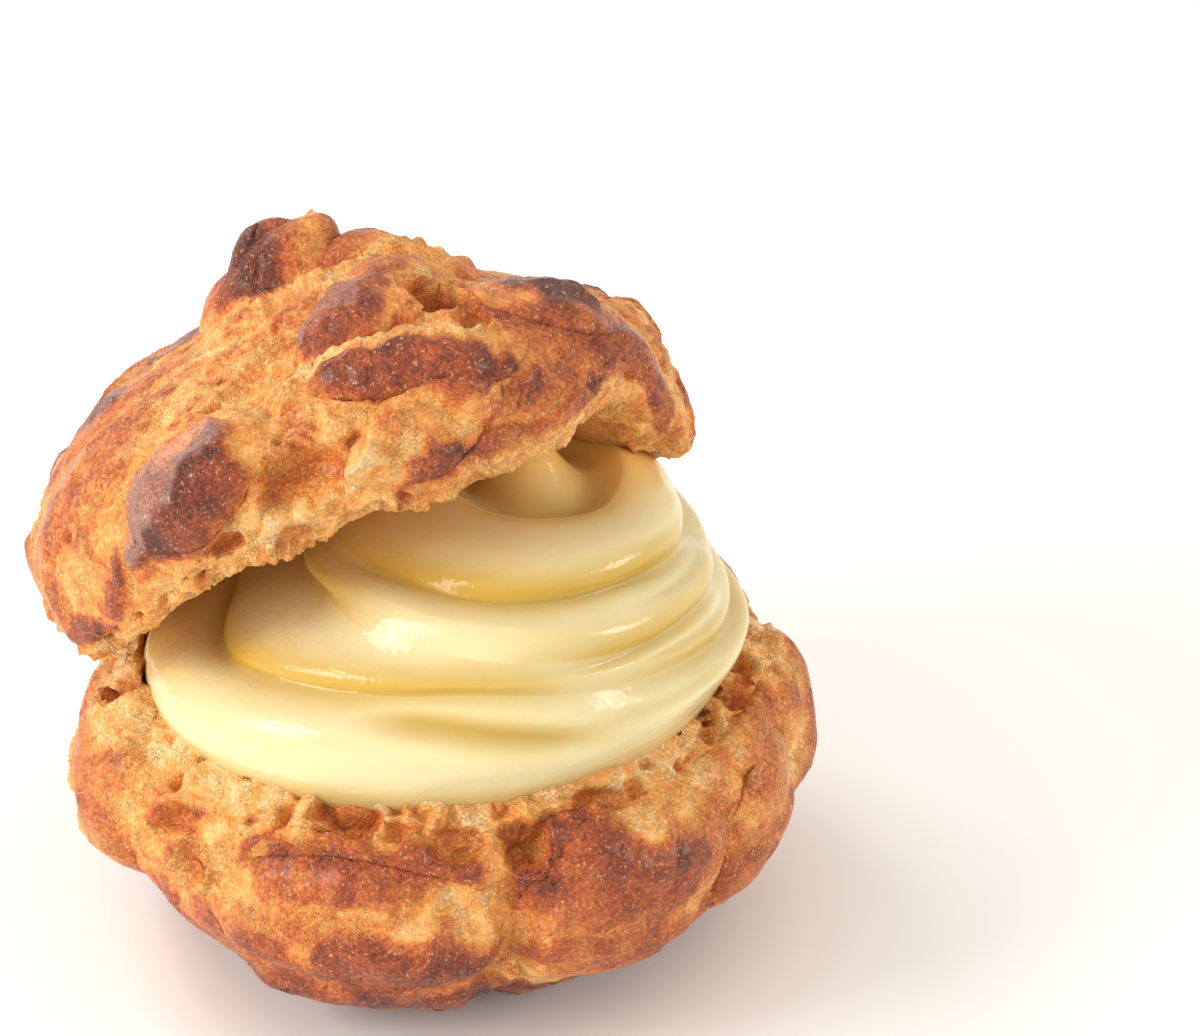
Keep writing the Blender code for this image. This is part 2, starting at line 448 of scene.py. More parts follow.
class Nodes:
    """A short way to write a material's nodes."""

    def __init__(self, name: str) -> None:
        """Starts a material with a surface shader.

        Args:
            name: The material's name.
        """
        self.material = bpy.data.materials.new(name)
        self.material.use_nodes = True
        self.tree = self.material.node_tree
        self.shader = self.tree.nodes["Principled BSDF"]
        self.place = self.tree.nodes.new("ShaderNodeTexCoord").outputs["Object"]

    def put(self, socket: bpy.types.NodeSocket, value: object) -> None:
        """Links or sets one input.

        Args:
            socket: The input.
            value: A socket to link, a number or colour to set, or none to leave it.
        """
        if isinstance(value, bpy.types.NodeSocket):
            self.tree.links.new(value, socket)
        elif value is not None:
            socket.default_value = value

    def mark(self, name: str) -> bpy.types.NodeSocket:
        """A value kept on the mesh.

        Args:
            name: The value's name on the mesh.

        Returns:
            The value's socket.
        """
        node = self.tree.nodes.new("ShaderNodeAttribute")
        node.attribute_name = name
        return node.outputs["Fac"]

    def sum(
        self, how: str, first: object, second: object = None, third: object = None
    ) -> bpy.types.NodeSocket:
        """One step of arithmetic.

        Args:
            how: The operation, by its Blender name.
            first: A socket or a number.
            second: A socket or a number.
            third: A socket or a number.

        Returns:
            The result's socket.
        """
        node = self.tree.nodes.new("ShaderNodeMath")
        node.operation = how
        for socket, value in zip(node.inputs, (first, second, third)):
            self.put(socket, value)
        return node.outputs[0]

    def noise(
        self, size: float, detail: float, twist: float = 0.0, place: object = None
    ) -> bpy.types.NodeSocket:
        """A noise pattern whose lumps are about size millimetres wide.

        Args:
            size: Width of the widest lumps.
            detail: How many finer sizes of lump lie on them.
            twist: How far the pattern is curled.
            place: The coordinates it is read at, or none for the piece's own.

        Returns:
            A socket with values from 0 to 1, mostly near 0.5.
        """
        node = self.tree.nodes.new("ShaderNodeTexNoise")
        self.put(node.inputs["Vector"], place or self.place)
        node.inputs["Scale"].default_value = 1 / (size * MM)
        node.inputs["Detail"].default_value = detail
        node.inputs["Distortion"].default_value = twist
        return node.outputs["Fac"]

    def cracks(self, size: float, place: object = None) -> bpy.types.NodeSocket:
        """How far each point is from the nearest line of a crackle of cells about size millimetres wide.

        Args:
            size: Width of a cell of the crackle.
            place: The coordinates it is read at, or none for the piece's own.

        Returns:
            A socket with each point's distance from the nearest line, as a share of a cell.
        """
        node = self.tree.nodes.new("ShaderNodeTexVoronoi")
        node.feature = "DISTANCE_TO_EDGE"
        self.put(node.inputs["Vector"], place or self.place)
        node.inputs["Scale"].default_value = 1 / (size * MM)
        return node.outputs["Distance"]

    def stretched(
        self, scale: tuple[float, float, float], turn: tuple[float, float, float]
    ) -> bpy.types.NodeSocket:
        """The piece's own coordinates, turned by degrees and scaled.

        Args:
            scale: How much each direction is scaled.
            turn: Degrees about X, Y and Z.

        Returns:
            The coordinates' socket.
        """
        node = self.tree.nodes.new("ShaderNodeMapping")
        self.put(node.inputs["Vector"], self.place)
        node.inputs["Scale"].default_value = scale
        node.inputs["Rotation"].default_value = [math.radians(a) for a in turn]
        return node.outputs[0]

    def span(
        self, value: object, low: float, high: float, to_low: float, to_high: float
    ) -> bpy.types.NodeSocket:
        """Carries a value from one range to another.

        Args:
            value: A socket or a number.
            low: One end of its range.
            high: The other end.
            to_low: What low becomes.
            to_high: What high becomes.

        Returns:
            A socket whose values are held between to_low and to_high.
        """
        node = self.tree.nodes.new("ShaderNodeMapRange")
        for socket, number in zip(node.inputs, (value, low, high, to_low, to_high)):
            self.put(socket, number)
        return node.outputs[0]

    def ramp(self, value: object, stops: tuple[tuple[float, Colour], ...]) -> bpy.types.NodeSocket:
        """Colours a value.

        Args:
            value: A socket.
            stops: Values from 0 to 1 and their colours, in order.

        Returns:
            The colour's socket.
        """
        node = self.tree.nodes.new("ShaderNodeValToRGB")
        self.put(node.inputs["Fac"], value)
        marks = node.color_ramp.elements
        while len(marks) < len(stops):
            marks.new(0.5)
        for mark, (at, colour) in zip(marks, stops):
            mark.position = at
            mark.color = (*colour, 1.0)
        return node.outputs["Color"]

    def mix(self, share: object, first: object, second: object) -> bpy.types.NodeSocket:
        """Mixes two colours.

        Args:
            share: How much of the second there is, a socket or a number.
            first: A socket or a colour.
            second: A socket or a colour.

        Returns:
            The mixed colour's socket.
        """
        node = self.tree.nodes.new("ShaderNodeMix")
        node.data_type = "RGBA"
        self.put(node.inputs["Factor"], share)
        self.put(node.inputs["A"], (*first, 1.0) if isinstance(first, tuple) else first)
        self.put(node.inputs["B"], (*second, 1.0) if isinstance(second, tuple) else second)
        return [s for s in node.outputs if s.type == "RGBA"][0]

    def bump(self, height: object, depth: float) -> bpy.types.NodeSocket:
        """A fine relief up to depth millimetres deep.

        Args:
            height: A socket with the relief, about 1 from its lowest to its highest.
            depth: How deep that is, in millimetres.

        Returns:
            The socket with the surface direction.
        """
        node = self.tree.nodes.new("ShaderNodeBump")
        node.inputs["Distance"].default_value = depth * MM
        self.put(node.inputs["Height"], height)
        return node.outputs[0]

    def between(self, share: object, none: float, full: float) -> bpy.types.NodeSocket:
        """A number that goes from none to full while a share goes from 0 to 1."""
        return self.span(share, 0, 1, none, full)

    def middled(self, value: object) -> bpy.types.NodeSocket:
        """A noise value about 0 instead of about 0.5."""
        return self.sum("SUBTRACT", value, 0.5)

    def added(self, value: object, share: object, under: object) -> bpy.types.NodeSocket:
        """A share of a value, added to what is under it."""
        return self.sum("MULTIPLY_ADD", value, share, under)


class Bake(Enum):
    """How far a half of the bun has browned, as an amount added everywhere."""

    LOWER_HALF = 0.0
    LID = 0.03


@dataclass(frozen=True)
class CrustFinish:
    """Baked choux: pale fibrous crumb, gold where it is thin, brown and glossy on its plates.

    Pairs of numbers are for the plates and for the crumb between them. Widths are in millimetres.
    """

    name: str
    bake: Bake
    stops: tuple[tuple[float, Colour], ...] = (
        (0.00, (1.00, 0.72, 0.40)),
        (0.12, (0.97, 0.55, 0.195)),
        (0.27, (0.91, 0.415, 0.105)),
        (0.42, (0.79, 0.268, 0.060)),
        (0.58, (0.58, 0.137, 0.035)),
        (0.74, (0.36, 0.070, 0.026)),
        (0.89, (0.165, 0.040, 0.022)),
        (1.00, (0.09, 0.025, 0.017)),
    )
    painted_sheen: Colour = (0.85, 0.50, 0.42)  # painted sheen: a pale veil mixed into the colour of the smoothest plates, standing in for their reflection
    painted_sheen_share: float = 0.28
    painted_glint: Colour = (1.0, 0.66, 0.42)  # painted glints: fine pale dots in the colour that stand in for tiny highlights
    painted_glint_share: float = 0.45
    painted_glint_width: float = 0.42
    grain_width: float = 0.55
    grain_tint: tuple[float, float] = (0.60, 0.36)
    blotch_width: float = 4.5
    blotch_tint: float = 0.55
    fibre_width: float = 1.2
    fibre_tint: tuple[float, float] = (-0.24, -0.30)  # fibres are paler than what they lie on
    fibre_rise: tuple[float, float] = (0.42, 0.48)
    fibre_foot_shade: tuple[float, float] = (0.03, 0.11)  # and darker along their foot: painted shade
    tuft_width: float = 3.2
    # Painted shade: how far the crumb's low places and pores are darkened.
    hollow_shade_tint: float = 0.24
    wrinkle_width: float = 1.5
    wrinkle_tint: tuple[float, float] = (-0.07, 0.0)
    wrinkle_rise: tuple[float, float] = (0.35, 0.0)
    roughness: tuple[float, float] = (0.70, 0.24)  # where dull and where glossy
    grain_roughness: float = 0.35
    coat: float = 0.25
    relief: float = 0.40

    def material(self) -> bpy.types.Material:
        """Builds the finish from the browning, crumb, gloss and hollow kept on a mesh, with shade painted in
        the hollow.

        Returns:
            The material.
        """
        nodes = Nodes(self.name)
        browning, crumb, gloss = nodes.mark("browning"), nodes.mark("crumb"), nodes.mark("gloss")
        grain = nodes.noise(self.grain_width, 3.0, 0.6)
        curl = nodes.sum("ABSOLUTE", nodes.middled(nodes.noise(self.fibre_width, 2.0, 3.0)))
        tuft = nodes.span(nodes.noise(self.tuft_width, 2.0), 0.42, 0.58, 0.25, 1.0)
        fibre = nodes.sum("MULTIPLY", nodes.span(curl, 0.0, 0.055, 1.0, 0.0), tuft)
        fibre_foot = nodes.span(curl, 0.05, 0.15, 1.0, 0.0)
        cracks = nodes.cracks(self.wrinkle_width, nodes.stretched((1, 1, 1.3), (20, 30, 0)))
        smooth = nodes.span(cracks, 0, 0.12, 0.0, 1.0)

        shade = nodes.sum("ADD", browning, self.bake.value)
        shade = nodes.added(nodes.middled(grain), nodes.between(crumb, *self.grain_tint), shade)
        shade = nodes.added(nodes.middled(nodes.noise(self.blotch_width, 4.0, 0.4)), self.blotch_tint, shade)
        shade = nodes.added(fibre, nodes.between(crumb, *self.fibre_tint), shade)
        # Painted shade: the foot of each fibre is darkened beside it.
        shade = nodes.added(fibre_foot, nodes.between(crumb, *self.fibre_foot_shade), shade)
        # Painted shade: the crumb's hollows are browned darker.
        shade = nodes.added(nodes.mark("hollow"), self.hollow_shade_tint, shade)
        shade = nodes.added(nodes.between(smooth, 1, 0), nodes.between(crumb, *self.wrinkle_tint), shade)
        # Painted sheen: the glossiest plates are mixed towards a pale mauve, standing in for their
        # reflection.
        painted_sheen = nodes.span(gloss, 0.6, 1.0, 0.0, self.painted_sheen_share)
        colour = nodes.mix(painted_sheen, nodes.ramp(shade, self.stops), self.painted_sheen)
        # Painted glints: fine pale dots mixed into the colour, half as strong on the crumb.
        glint_dots = nodes.span(nodes.noise(self.painted_glint_width, 1.0), 0.64, 0.72, 0.0, self.painted_glint_share)
        colour = nodes.mix(nodes.sum("MULTIPLY", glint_dots, nodes.between(crumb, 1.0, 0.5)), colour, self.painted_glint)
        nodes.put(nodes.shader.inputs["Base Color"], colour)

        rough = nodes.between(gloss, *self.roughness)
        rough = nodes.added(nodes.middled(grain), self.grain_roughness, rough)
        nodes.put(nodes.shader.inputs["Roughness"], rough)
        nodes.shader.inputs["IOR"].default_value = 1.45
        nodes.shader.inputs["Specular IOR Level"].default_value = 0.35
        nodes.shader.inputs["Coat Weight"].default_value = self.coat
        nodes.shader.inputs["Coat Roughness"].default_value = 0.18

        fine = nodes.added(fibre, nodes.between(crumb, *self.fibre_rise), grain)
        fine = nodes.added(smooth, nodes.between(crumb, *self.wrinkle_rise), fine)
        nodes.put(nodes.shader.inputs["Normal"], nodes.bump(fine, self.relief))
        return nodes.material


@dataclass(frozen=True)
class CreamFinish:
    """Thick custard cream: pale yellow and glossy, with shade painted on it as a deeper gold down in its
    folds and under the lid.
    """

    name: str
    pale: Colour = (0.77, 0.68, 0.40)
    # The pale yellow deepens towards this gold where shade is painted in the folds, and a little at random.
    shade_gold: Colour = (0.60, 0.39, 0.065)
    shade_gold_from: float = 0.6
    shaded: Colour = (1.0, 0.62, 0.15)  # right under the lid
    glow: Colour = (1.0, 0.72, 0.30)  # how far each colour of light travels inside, as a share of the depth
    glow_depth: float = 3.0
    cloud_tint: float = 0.22
    streak_tint: float = 0.10
    roughness: tuple[float, float] = (0.09, 0.21)
    crinkle: float = 0.45
    relief: float = 0.16
    brush: tuple[float, float, float] = (0, -8, 0)  # the turn of the piped streaks, in degrees

    def material(self) -> bpy.types.Material:
        """Builds the finish from the fold and shade marks kept on the cream's mesh, both of them painted
        shade.

        Returns:
            The material.
        """
        nodes = Nodes(self.name)
        cloud, streak = nodes.noise(9.0, 3.0, 0.5), nodes.stretched((0.16, 0.16, 1.0), self.brush)
        share = nodes.added(nodes.middled(cloud), self.cloud_tint, nodes.mark("fold"))
        share = nodes.added(nodes.middled(nodes.noise(1.6, 3.0, 0.3, streak)), self.streak_tint, share)
        # Painted shade: gold down in the folds, and orange right under the lid.
        colour = nodes.ramp(share, ((0.0, self.pale), (self.shade_gold_from, self.shade_gold)))
        nodes.put(nodes.shader.inputs["Base Color"], nodes.mix(nodes.mark("shade"), colour, self.shaded))
        rough = nodes.span(nodes.noise(3.0, 4.0, 0.8), 0.3, 0.7, *self.roughness)
        nodes.put(nodes.shader.inputs["Roughness"], rough)
        nodes.shader.inputs["IOR"].default_value = 1.45
        nodes.shader.inputs["Subsurface Weight"].default_value = 0.6
        nodes.shader.inputs["Subsurface Radius"].default_value = self.glow
        nodes.shader.inputs["Subsurface Scale"].default_value = self.glow_depth * MM
        ripple = nodes.noise(2.2, 3.0, 0.4, nodes.stretched((0.35, 0.35, 1.0), self.brush))
        ripple = nodes.added(nodes.noise(1.3, 2.0, 1.2), self.crinkle, ripple)
        nodes.put(nodes.shader.inputs["Normal"], nodes.bump(ripple, self.relief))
        return nodes.material


@dataclass(frozen=True)
class Relief:
    """How rough a crust is: how wide each kind of mark is, and how high or deep, in millimetres."""

    raggedness: tuple[tuple[float, float, float], ...] = ((0, 9.0, 2.8), (9, 4.0, 1.3), (-7, 1.6, 0.6))
    plate_edge: float = 0.30  # the share of a plate's rise at its edge
    plate_crown: float = 0.85  # and along its crest
    edging_rise: float = 0.45  # the pale crumb curled up round a plate
    vein_width: float = 13.0
    vein_depth: float = 0.35
    scale_width: float = 6.5
    scale_rise: float = 0.7
    fibre_width: float = 2.4
    fibre_rise: float = 0.55
    lump_width: float = 7.0
    crumb_lump_rise: float = 0.55
    plate_lump_rise: float = 0.40
    grit_width: float = 1.5
    crumb_grit_rise: float = 0.12
    plate_grit_rise: float = 0.10
    pore_width: float = 3.3
    pore_depth: float = 0.9
    crease_width: float = 5.5
    crease_depth: float = 0.45
    pit_lip: float = 0.45
    torn_fibre_rise: float = 0.3  # these three come on top where the crumb is torn
    torn_grit_rise: float = 0.16
    torn_pore_depth: float = 1.1


@dataclass(frozen=True)
class Toning:
    """How far each mark on a crust browns it, or keeps it pale where below zero."""

    broad_mottle: float = 0.14
    close_mottle: float = 0.12
    scales: float = 0.14
    fibres: float = -0.30
    lumps: float = 0.22
    veins_pale: float = 0.9  # the share of the browning that a vein takes away
    edging_pale: float = 0.75
    plate_foot: float = 0.55  # the share of a plate's browning at its lower edge
    plate_mottle: float = 0.12
    palest: float = 0.06
    split: float = 0.13
    torn: float = 0.05
    torn_mottle: float = 0.14
    pit_mottle: float = 0.08


@dataclass
class Ground:
    """A bun half's skin while its crust is made. Its heights are in millimetres and the rest are shares."""

    points: np.ndarray
    away: np.ndarray  # the points, from the half's heart
    ragged: np.ndarray  # the same, shifted at random so that edges come out ragged
    skin: np.ndarray  # baked skin, as against the inside of the bun
    torn: np.ndarray  # torn crumb

    def __post_init__(self) -> None:
        """Starts with a bare skin: flat, pale and dull, with no plates, crumb or pits."""
        self.height, self.brown, self.shine = (np.zeros(self.skin.shape) for _ in range(3))
        self.plated, self.edging, self.split = (np.zeros(self.skin.shape) for _ in range(3))
        self.crumb, self.sunk, self.sunk_brown_and_shade = (np.zeros(self.skin.shape) for _ in range(3))
        self.veins, self.scales, self.fibres = (np.zeros(self.skin.shape) for _ in range(3))
        self.lumps, self.pores = (np.zeros(self.skin.shape) for _ in range(2))


@dataclass(frozen=True)
class BunHalf:
    """What both halves of the bun share: how their crust swells, splits, tears and browns."""

    node: str
    piece: str
    slot: str
    heart: tuple[float, float, float]
    blisters: tuple[Blister, ...]
    plates: tuple[Plate, ...]
    pits: tuple[Pit, ...]
    fissures: tuple[Fissure, ...]
    seed: int
    amber: float = 0.28  # how far the crust between the plates has browned
    tans: tuple[Tan, ...] = ()
    relief: Relief = Relief()
    toning: Toning = Toning()
    sectors: int = 620
    front_crowding: float = 0.2  # how much closer sectors stand at the front than on average

    def bearings(self) -> np.ndarray:
        """The sectors' bearings, closer together at the front."""
        turn = np.linspace(0, 2 * math.pi, self.sectors, endpoint=False)
        return np.degrees(turn - self.front_crowding * np.sin(turn))

    def swollen(self, points: np.ndarray) -> np.ndarray:
        """Moves the outside of a skin outwards where it has blisters.

        Args:
            points: The skin, rings by sectors by three.

        Returns:
            The moved skin.
        """
        normals = grid_normals(points)
        away = points - np.array(self.heart)
        length = np.linalg.norm(away, axis=-1)
        skin = np.clip(2 * (normals * away).sum(axis=-1) / np.maximum(length, 1e-6), 0, 1)
        rise, dip = np.zeros(length.shape), np.zeros(length.shape)
        for blister in self.blisters:
            share = np.clip(1 - blister.spread(away) ** 2, 0, 1)
            amount = blister.rise * skin * share * (2 - share)
            rise, dip = np.maximum(rise, amount), np.minimum(dip, amount)
        return points + normals * (rise + dip)[..., None]

    def lay_plates(self, ground: Ground) -> None:
        """Raises the plates of crust, and browns and polishes them.

        Args:
            ground: The half's skin so far, which is changed.
        """
        for plate in self.plates:
            far, wide, _ = plate.across(ground.ragged)
            inside = (1 - plate.spread(ground.ragged, 2.4)) * plate.width / 2
            step = eased(-0.3, 0.9, inside)
            tent = plate.tent(far, wide)
            crown = tent**0.85 * np.sqrt(np.clip(1 - far**2, 0, 1))
            rise = plate.rise * (self.relief.plate_edge * step + self.relief.plate_crown * crown)
            upper = eased(plate.crest - 0.08, plate.crest + 0.08, wide)
            least = self.toning.plate_foot + (plate.blend - self.toning.plate_foot) * upper
            tint = eased(-0.3, 1.1, inside) * (least + (1 - least) * np.minimum(1.6 * tent, 1))
            # Polish is highest on the upper facet. It makes the plate glossier there, and the finish also
            # paints a sheen from it.
            polish = plate.gloss * step * (0.4 + 0.6 * upper * eased(0.0, 0.5, tent))
            ground.height = np.maximum(ground.height, rise)
            ground.brown = np.maximum(ground.brown, plate.browning * tint)
            ground.shine = np.maximum(ground.shine, polish)
            ground.edging = np.maximum(ground.edging, np.exp(-(((inside + 0.5) / 0.8) ** 2)))
            ground.plated = np.maximum(ground.plated, step)
        ground.edging *= 1 - ground.plated

    def split_crust(self, ground: Ground) -> None:
        """Opens the fissures through the plates.

        Args:
            ground: The half's skin so far, which is changed.
        """
        for fissure in self.fissures:
            share = eased(1.0, 0.45, fissure.spread(ground.ragged, 2.0))
            ground.split = np.maximum(ground.split, share)
            ground.height -= fissure.depth * share
        ground.plated = ground.plated * (1 - ground.split)
        ground.crumb = np.maximum(np.clip(1 - ground.plated, 0, 1) * ground.skin, ground.torn)

    def roughen(self, ground: Ground, noise: Noise) -> None:
        """Roughens the crumb with scales, veins, fibres, lumps, grit and pores, and creases the plates.

        Args:
            ground: The half's skin so far, which is changed.
            noise: The half's random patterns.
        """
        relief, points, torn, crumb = self.relief, ground.points, ground.torn, ground.crumb
        ground.veins = eased(0.90, 0.985, 1 - np.abs(noise.smooth(ground.ragged, relief.vein_width)))
        near, following, share = noise.cells(ground.ragged + noise.push(points, 5.0, 1.2), relief.scale_width)
        ground.scales = eased(0.3, 1.8, following - near) * share
        twist = points + noise.push(points + 3.0, 6.0, 3.0)
        lean = twist @ np.array([[0.35, 0.0, 0.45], [0.0, 0.7, 0.0], [-0.28, 0.0, 1.3]])
        ground.fibres = noise.ridged(lean, relief.fibre_width, 3)
        ground.lumps = noise.layered(points, relief.lump_width, 4, 0.55)
        grit = noise.layered(points + 5.0, relief.grit_width, 2, 0.6)
        near, _, share = noise.cells(points + noise.push(points, 2.0, 0.7), relief.pore_width)
        size = 0.3 + (0.6 + 1.2 * torn) * share
        ground.pores = np.clip(1 - (near / size) ** 2, 0, 1) * (share > 0.7 - 0.4 * torn)
        creases = eased(0.82, 1.0, noise.ridged(points + 40.0, relief.crease_width, 2))

        fibre_rise = relief.fibre_rise + relief.torn_fibre_rise * torn
        grit_rise = relief.crumb_grit_rise + relief.torn_grit_rise * torn
        pore_depth = relief.pore_depth + relief.torn_pore_depth * torn
        rough = fibre_rise * (ground.fibres - 0.55) + relief.crumb_lump_rise * ground.lumps + grit_rise * grit
        edges = relief.edging_rise * ground.edging - relief.vein_depth * ground.veins
        plain = relief.plate_lump_rise * ground.lumps + relief.plate_grit_rise * grit
        ground.height += relief.scale_rise * ground.scales * crumb * (1 - torn)
        ground.height += edges * crumb * ground.skin
        ground.height += crumb * (rough - pore_depth * ground.pores)
        ground.height += (1 - crumb) * ground.skin * (plain - relief.crease_depth * creases)

    def sink_pits(self, ground: Ground, noise: Noise) -> None:
        """Sinks the pits, smooth inside and with a raised lip.

        Args:
            ground: The half's skin so far, which is changed.
            noise: The half's random patterns.
        """
        shift = noise.push(ground.points, 2.0, 0.5)
        for pit in self.pits:
            spread = pit.spread(0.5 * (ground.away + ground.ragged) + shift, 2.3)
            bowl = np.clip(1 - spread**2, 0, 1)
            smoothed = eased(0, 0.35, bowl)
            ground.height = ground.height * (1 - 0.85 * smoothed) - pit.depth * bowl**0.7
            ground.height += self.relief.pit_lip * eased(0.8, 1.0, 1 - np.abs(spread - 1.1))
            ground.sunk = np.maximum(ground.sunk, smoothed)
            # Each pit's inside is darkened: its browning, deepened as painted shade.
            ground.sunk_brown_and_shade = np.where(bowl > 0, pit.browning, ground.sunk_brown_and_shade)
        ground.crumb = ground.crumb * (1 - 0.75 * ground.sunk)

    def browned(self, ground: Ground, noise: Noise) -> np.ndarray:
        """How far each point has browned, with shade painted in the pits: plates first, then crumb, fissures,
        torn crumb and pits.

        Args:
            ground: The half's finished skin.
            noise: The half's random patterns.

        Returns:
            The browning from about 0, pale, to about 1, dark brown.
        """
        points, toning = ground.points, self.toning
        loose = self.amber + toning.broad_mottle * noise.smooth(points, 11.0)
        loose += toning.close_mottle * noise.smooth(points, 4.0)
        loose += toning.scales * ground.scales + toning.fibres * (ground.fibres - 0.5)
        loose += toning.lumps * ground.lumps
        for tan in self.tans:
            loose += tan.amount * eased(1.1, 0.4, tan.spread(ground.ragged))
        pale = np.maximum(toning.veins_pale * ground.veins, toning.edging_pale * ground.edging)
        loose = (loose * (1 - pale) + toning.palest * pale) * (1 - 0.5 * ground.plated)
        plates = ground.brown + toning.plate_mottle * noise.smooth(points, 2.5) * ground.plated
        made = np.maximum(plates, loose)
        made = made * (1 - 0.8 * ground.split) + toning.split * ground.split
        mottle = noise.smooth(points, 3.0)
        torn = toning.torn + toning.torn_mottle * mottle
        made = made * (1 - 0.8 * ground.torn) + torn * ground.torn
        # Inside the pits: browning, deepened as painted shade.
        pits = ground.sunk_brown_and_shade + toning.pit_mottle * mottle
        return made * (1 - ground.sunk) + pits * ground.sunk

    def crust(self, points: np.ndarray, skin: np.ndarray, torn: np.ndarray) -> tuple[np.ndarray, Marks]:
        """Raises plates and pits, and roughens what lies between them.

        Args:
            points: The smooth skin.
            skin: 1 on baked skin and 0 inside the bun.
            torn: 1 on torn crumb.

        Returns:
            The finished skin and its marks for the finish.
        """
        noise = Noise(self.seed)
        away = points - np.array(self.heart)
        shifts = [noise.push(points + apart, width, far) for apart, width, far in self.relief.raggedness]
        ground = Ground(points, away, away + sum(shifts), skin, torn)
        self.lay_plates(ground)
        self.split_crust(ground)
        self.roughen(ground, noise)
        self.sink_pits(ground, noise)
        # Painted shade: the crumb's low places and pores, kept as the hollow mark so the finish darkens them.
        low = np.clip((0.5 - ground.fibres) * 1.6, 0, 0.6) + np.clip(-ground.lumps, 0, 1) * 0.8
        marks = {
            "browning": self.browned(ground, noise),
            "crumb": ground.crumb,
            "gloss": ground.shine,
            "hollow": ground.crumb * (low + ground.pores),
        }
        marks = {name: np.clip(values, 0, 1) for name, values in marks.items()}
        rise = ground.height * np.maximum(skin, torn)
        return points + grid_normals(points) * rise[..., None], marks

    def build(self) -> bpy.types.Object:
        """Builds the piece, dresses it and ties it to the frame.

        Returns:
            The piece.
        """
        points, marks = self.shape()
        made = skin_mesh(self.piece, points, marks)
        made.data.materials.append(self.finish().material())
        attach(made, BODY)
        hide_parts(self.node)
        return made


def wave(waves: tuple[tuple[int, float, float], ...], points: np.ndarray, radius: float) -> np.ndarray:
    """How far a half's waves lift points: most at its rim, nothing on its axis.

    Args:
        waves: For each wave how many there are in a round, its height, and the bearing of a crest.
        points: The points, in the half's own frame.
        radius: The half's radius.

    Returns:
        The lifts.
    """
    bearing = bearing_of(points)
    lift = sum(rise * np.cos(np.radians(count * (bearing - crest))) for count, rise, crest in waves)
    return lift * np.clip(reach_of(points) / radius, 0, 1.2) ** 3


def scattered_plates(
    seed: int,
    count: int,
    bearings: tuple[float, float],
    elevations: tuple[float, float],
    sizes: tuple[float, float],
) -> tuple[Plate, ...]:
    """Plates for the side away from the viewer, kept apart from one another.

    Args:
        seed: Of the random draws.
        count: How many are tried.
        bearings: Their first and last bearing.
        elevations: Their lowest and highest elevation.
        sizes: Their shortest and longest length.

    Returns:
        The plates that found room.
    """
    rng = np.random.default_rng(seed)
    made: list[Plate] = []
    for _ in range(count):
        bearing, elevation = rng.uniform(*bearings), rng.uniform(*elevations)
        length = rng.uniform(*sizes)
        width = length * rng.uniform(0.4, 0.7)
        turn, browning = rng.uniform(-60, 60), rng.uniform(0.45, 0.85)
        flat = math.cos(math.radians(elevation))
        apart = [math.hypot((bearing - p.bearing) * flat, elevation - p.elevation) * 0.65 for p in made]
        room = [(length + p.length) * 0.36 for p in made]
        if all(a > r for a, r in zip(apart, room)):
            rise = rng.uniform(1.2, 2.0)
            made.append(Plate(bearing, elevation, length, width, turn, rise, browning, gloss=browning))
    return tuple(made)


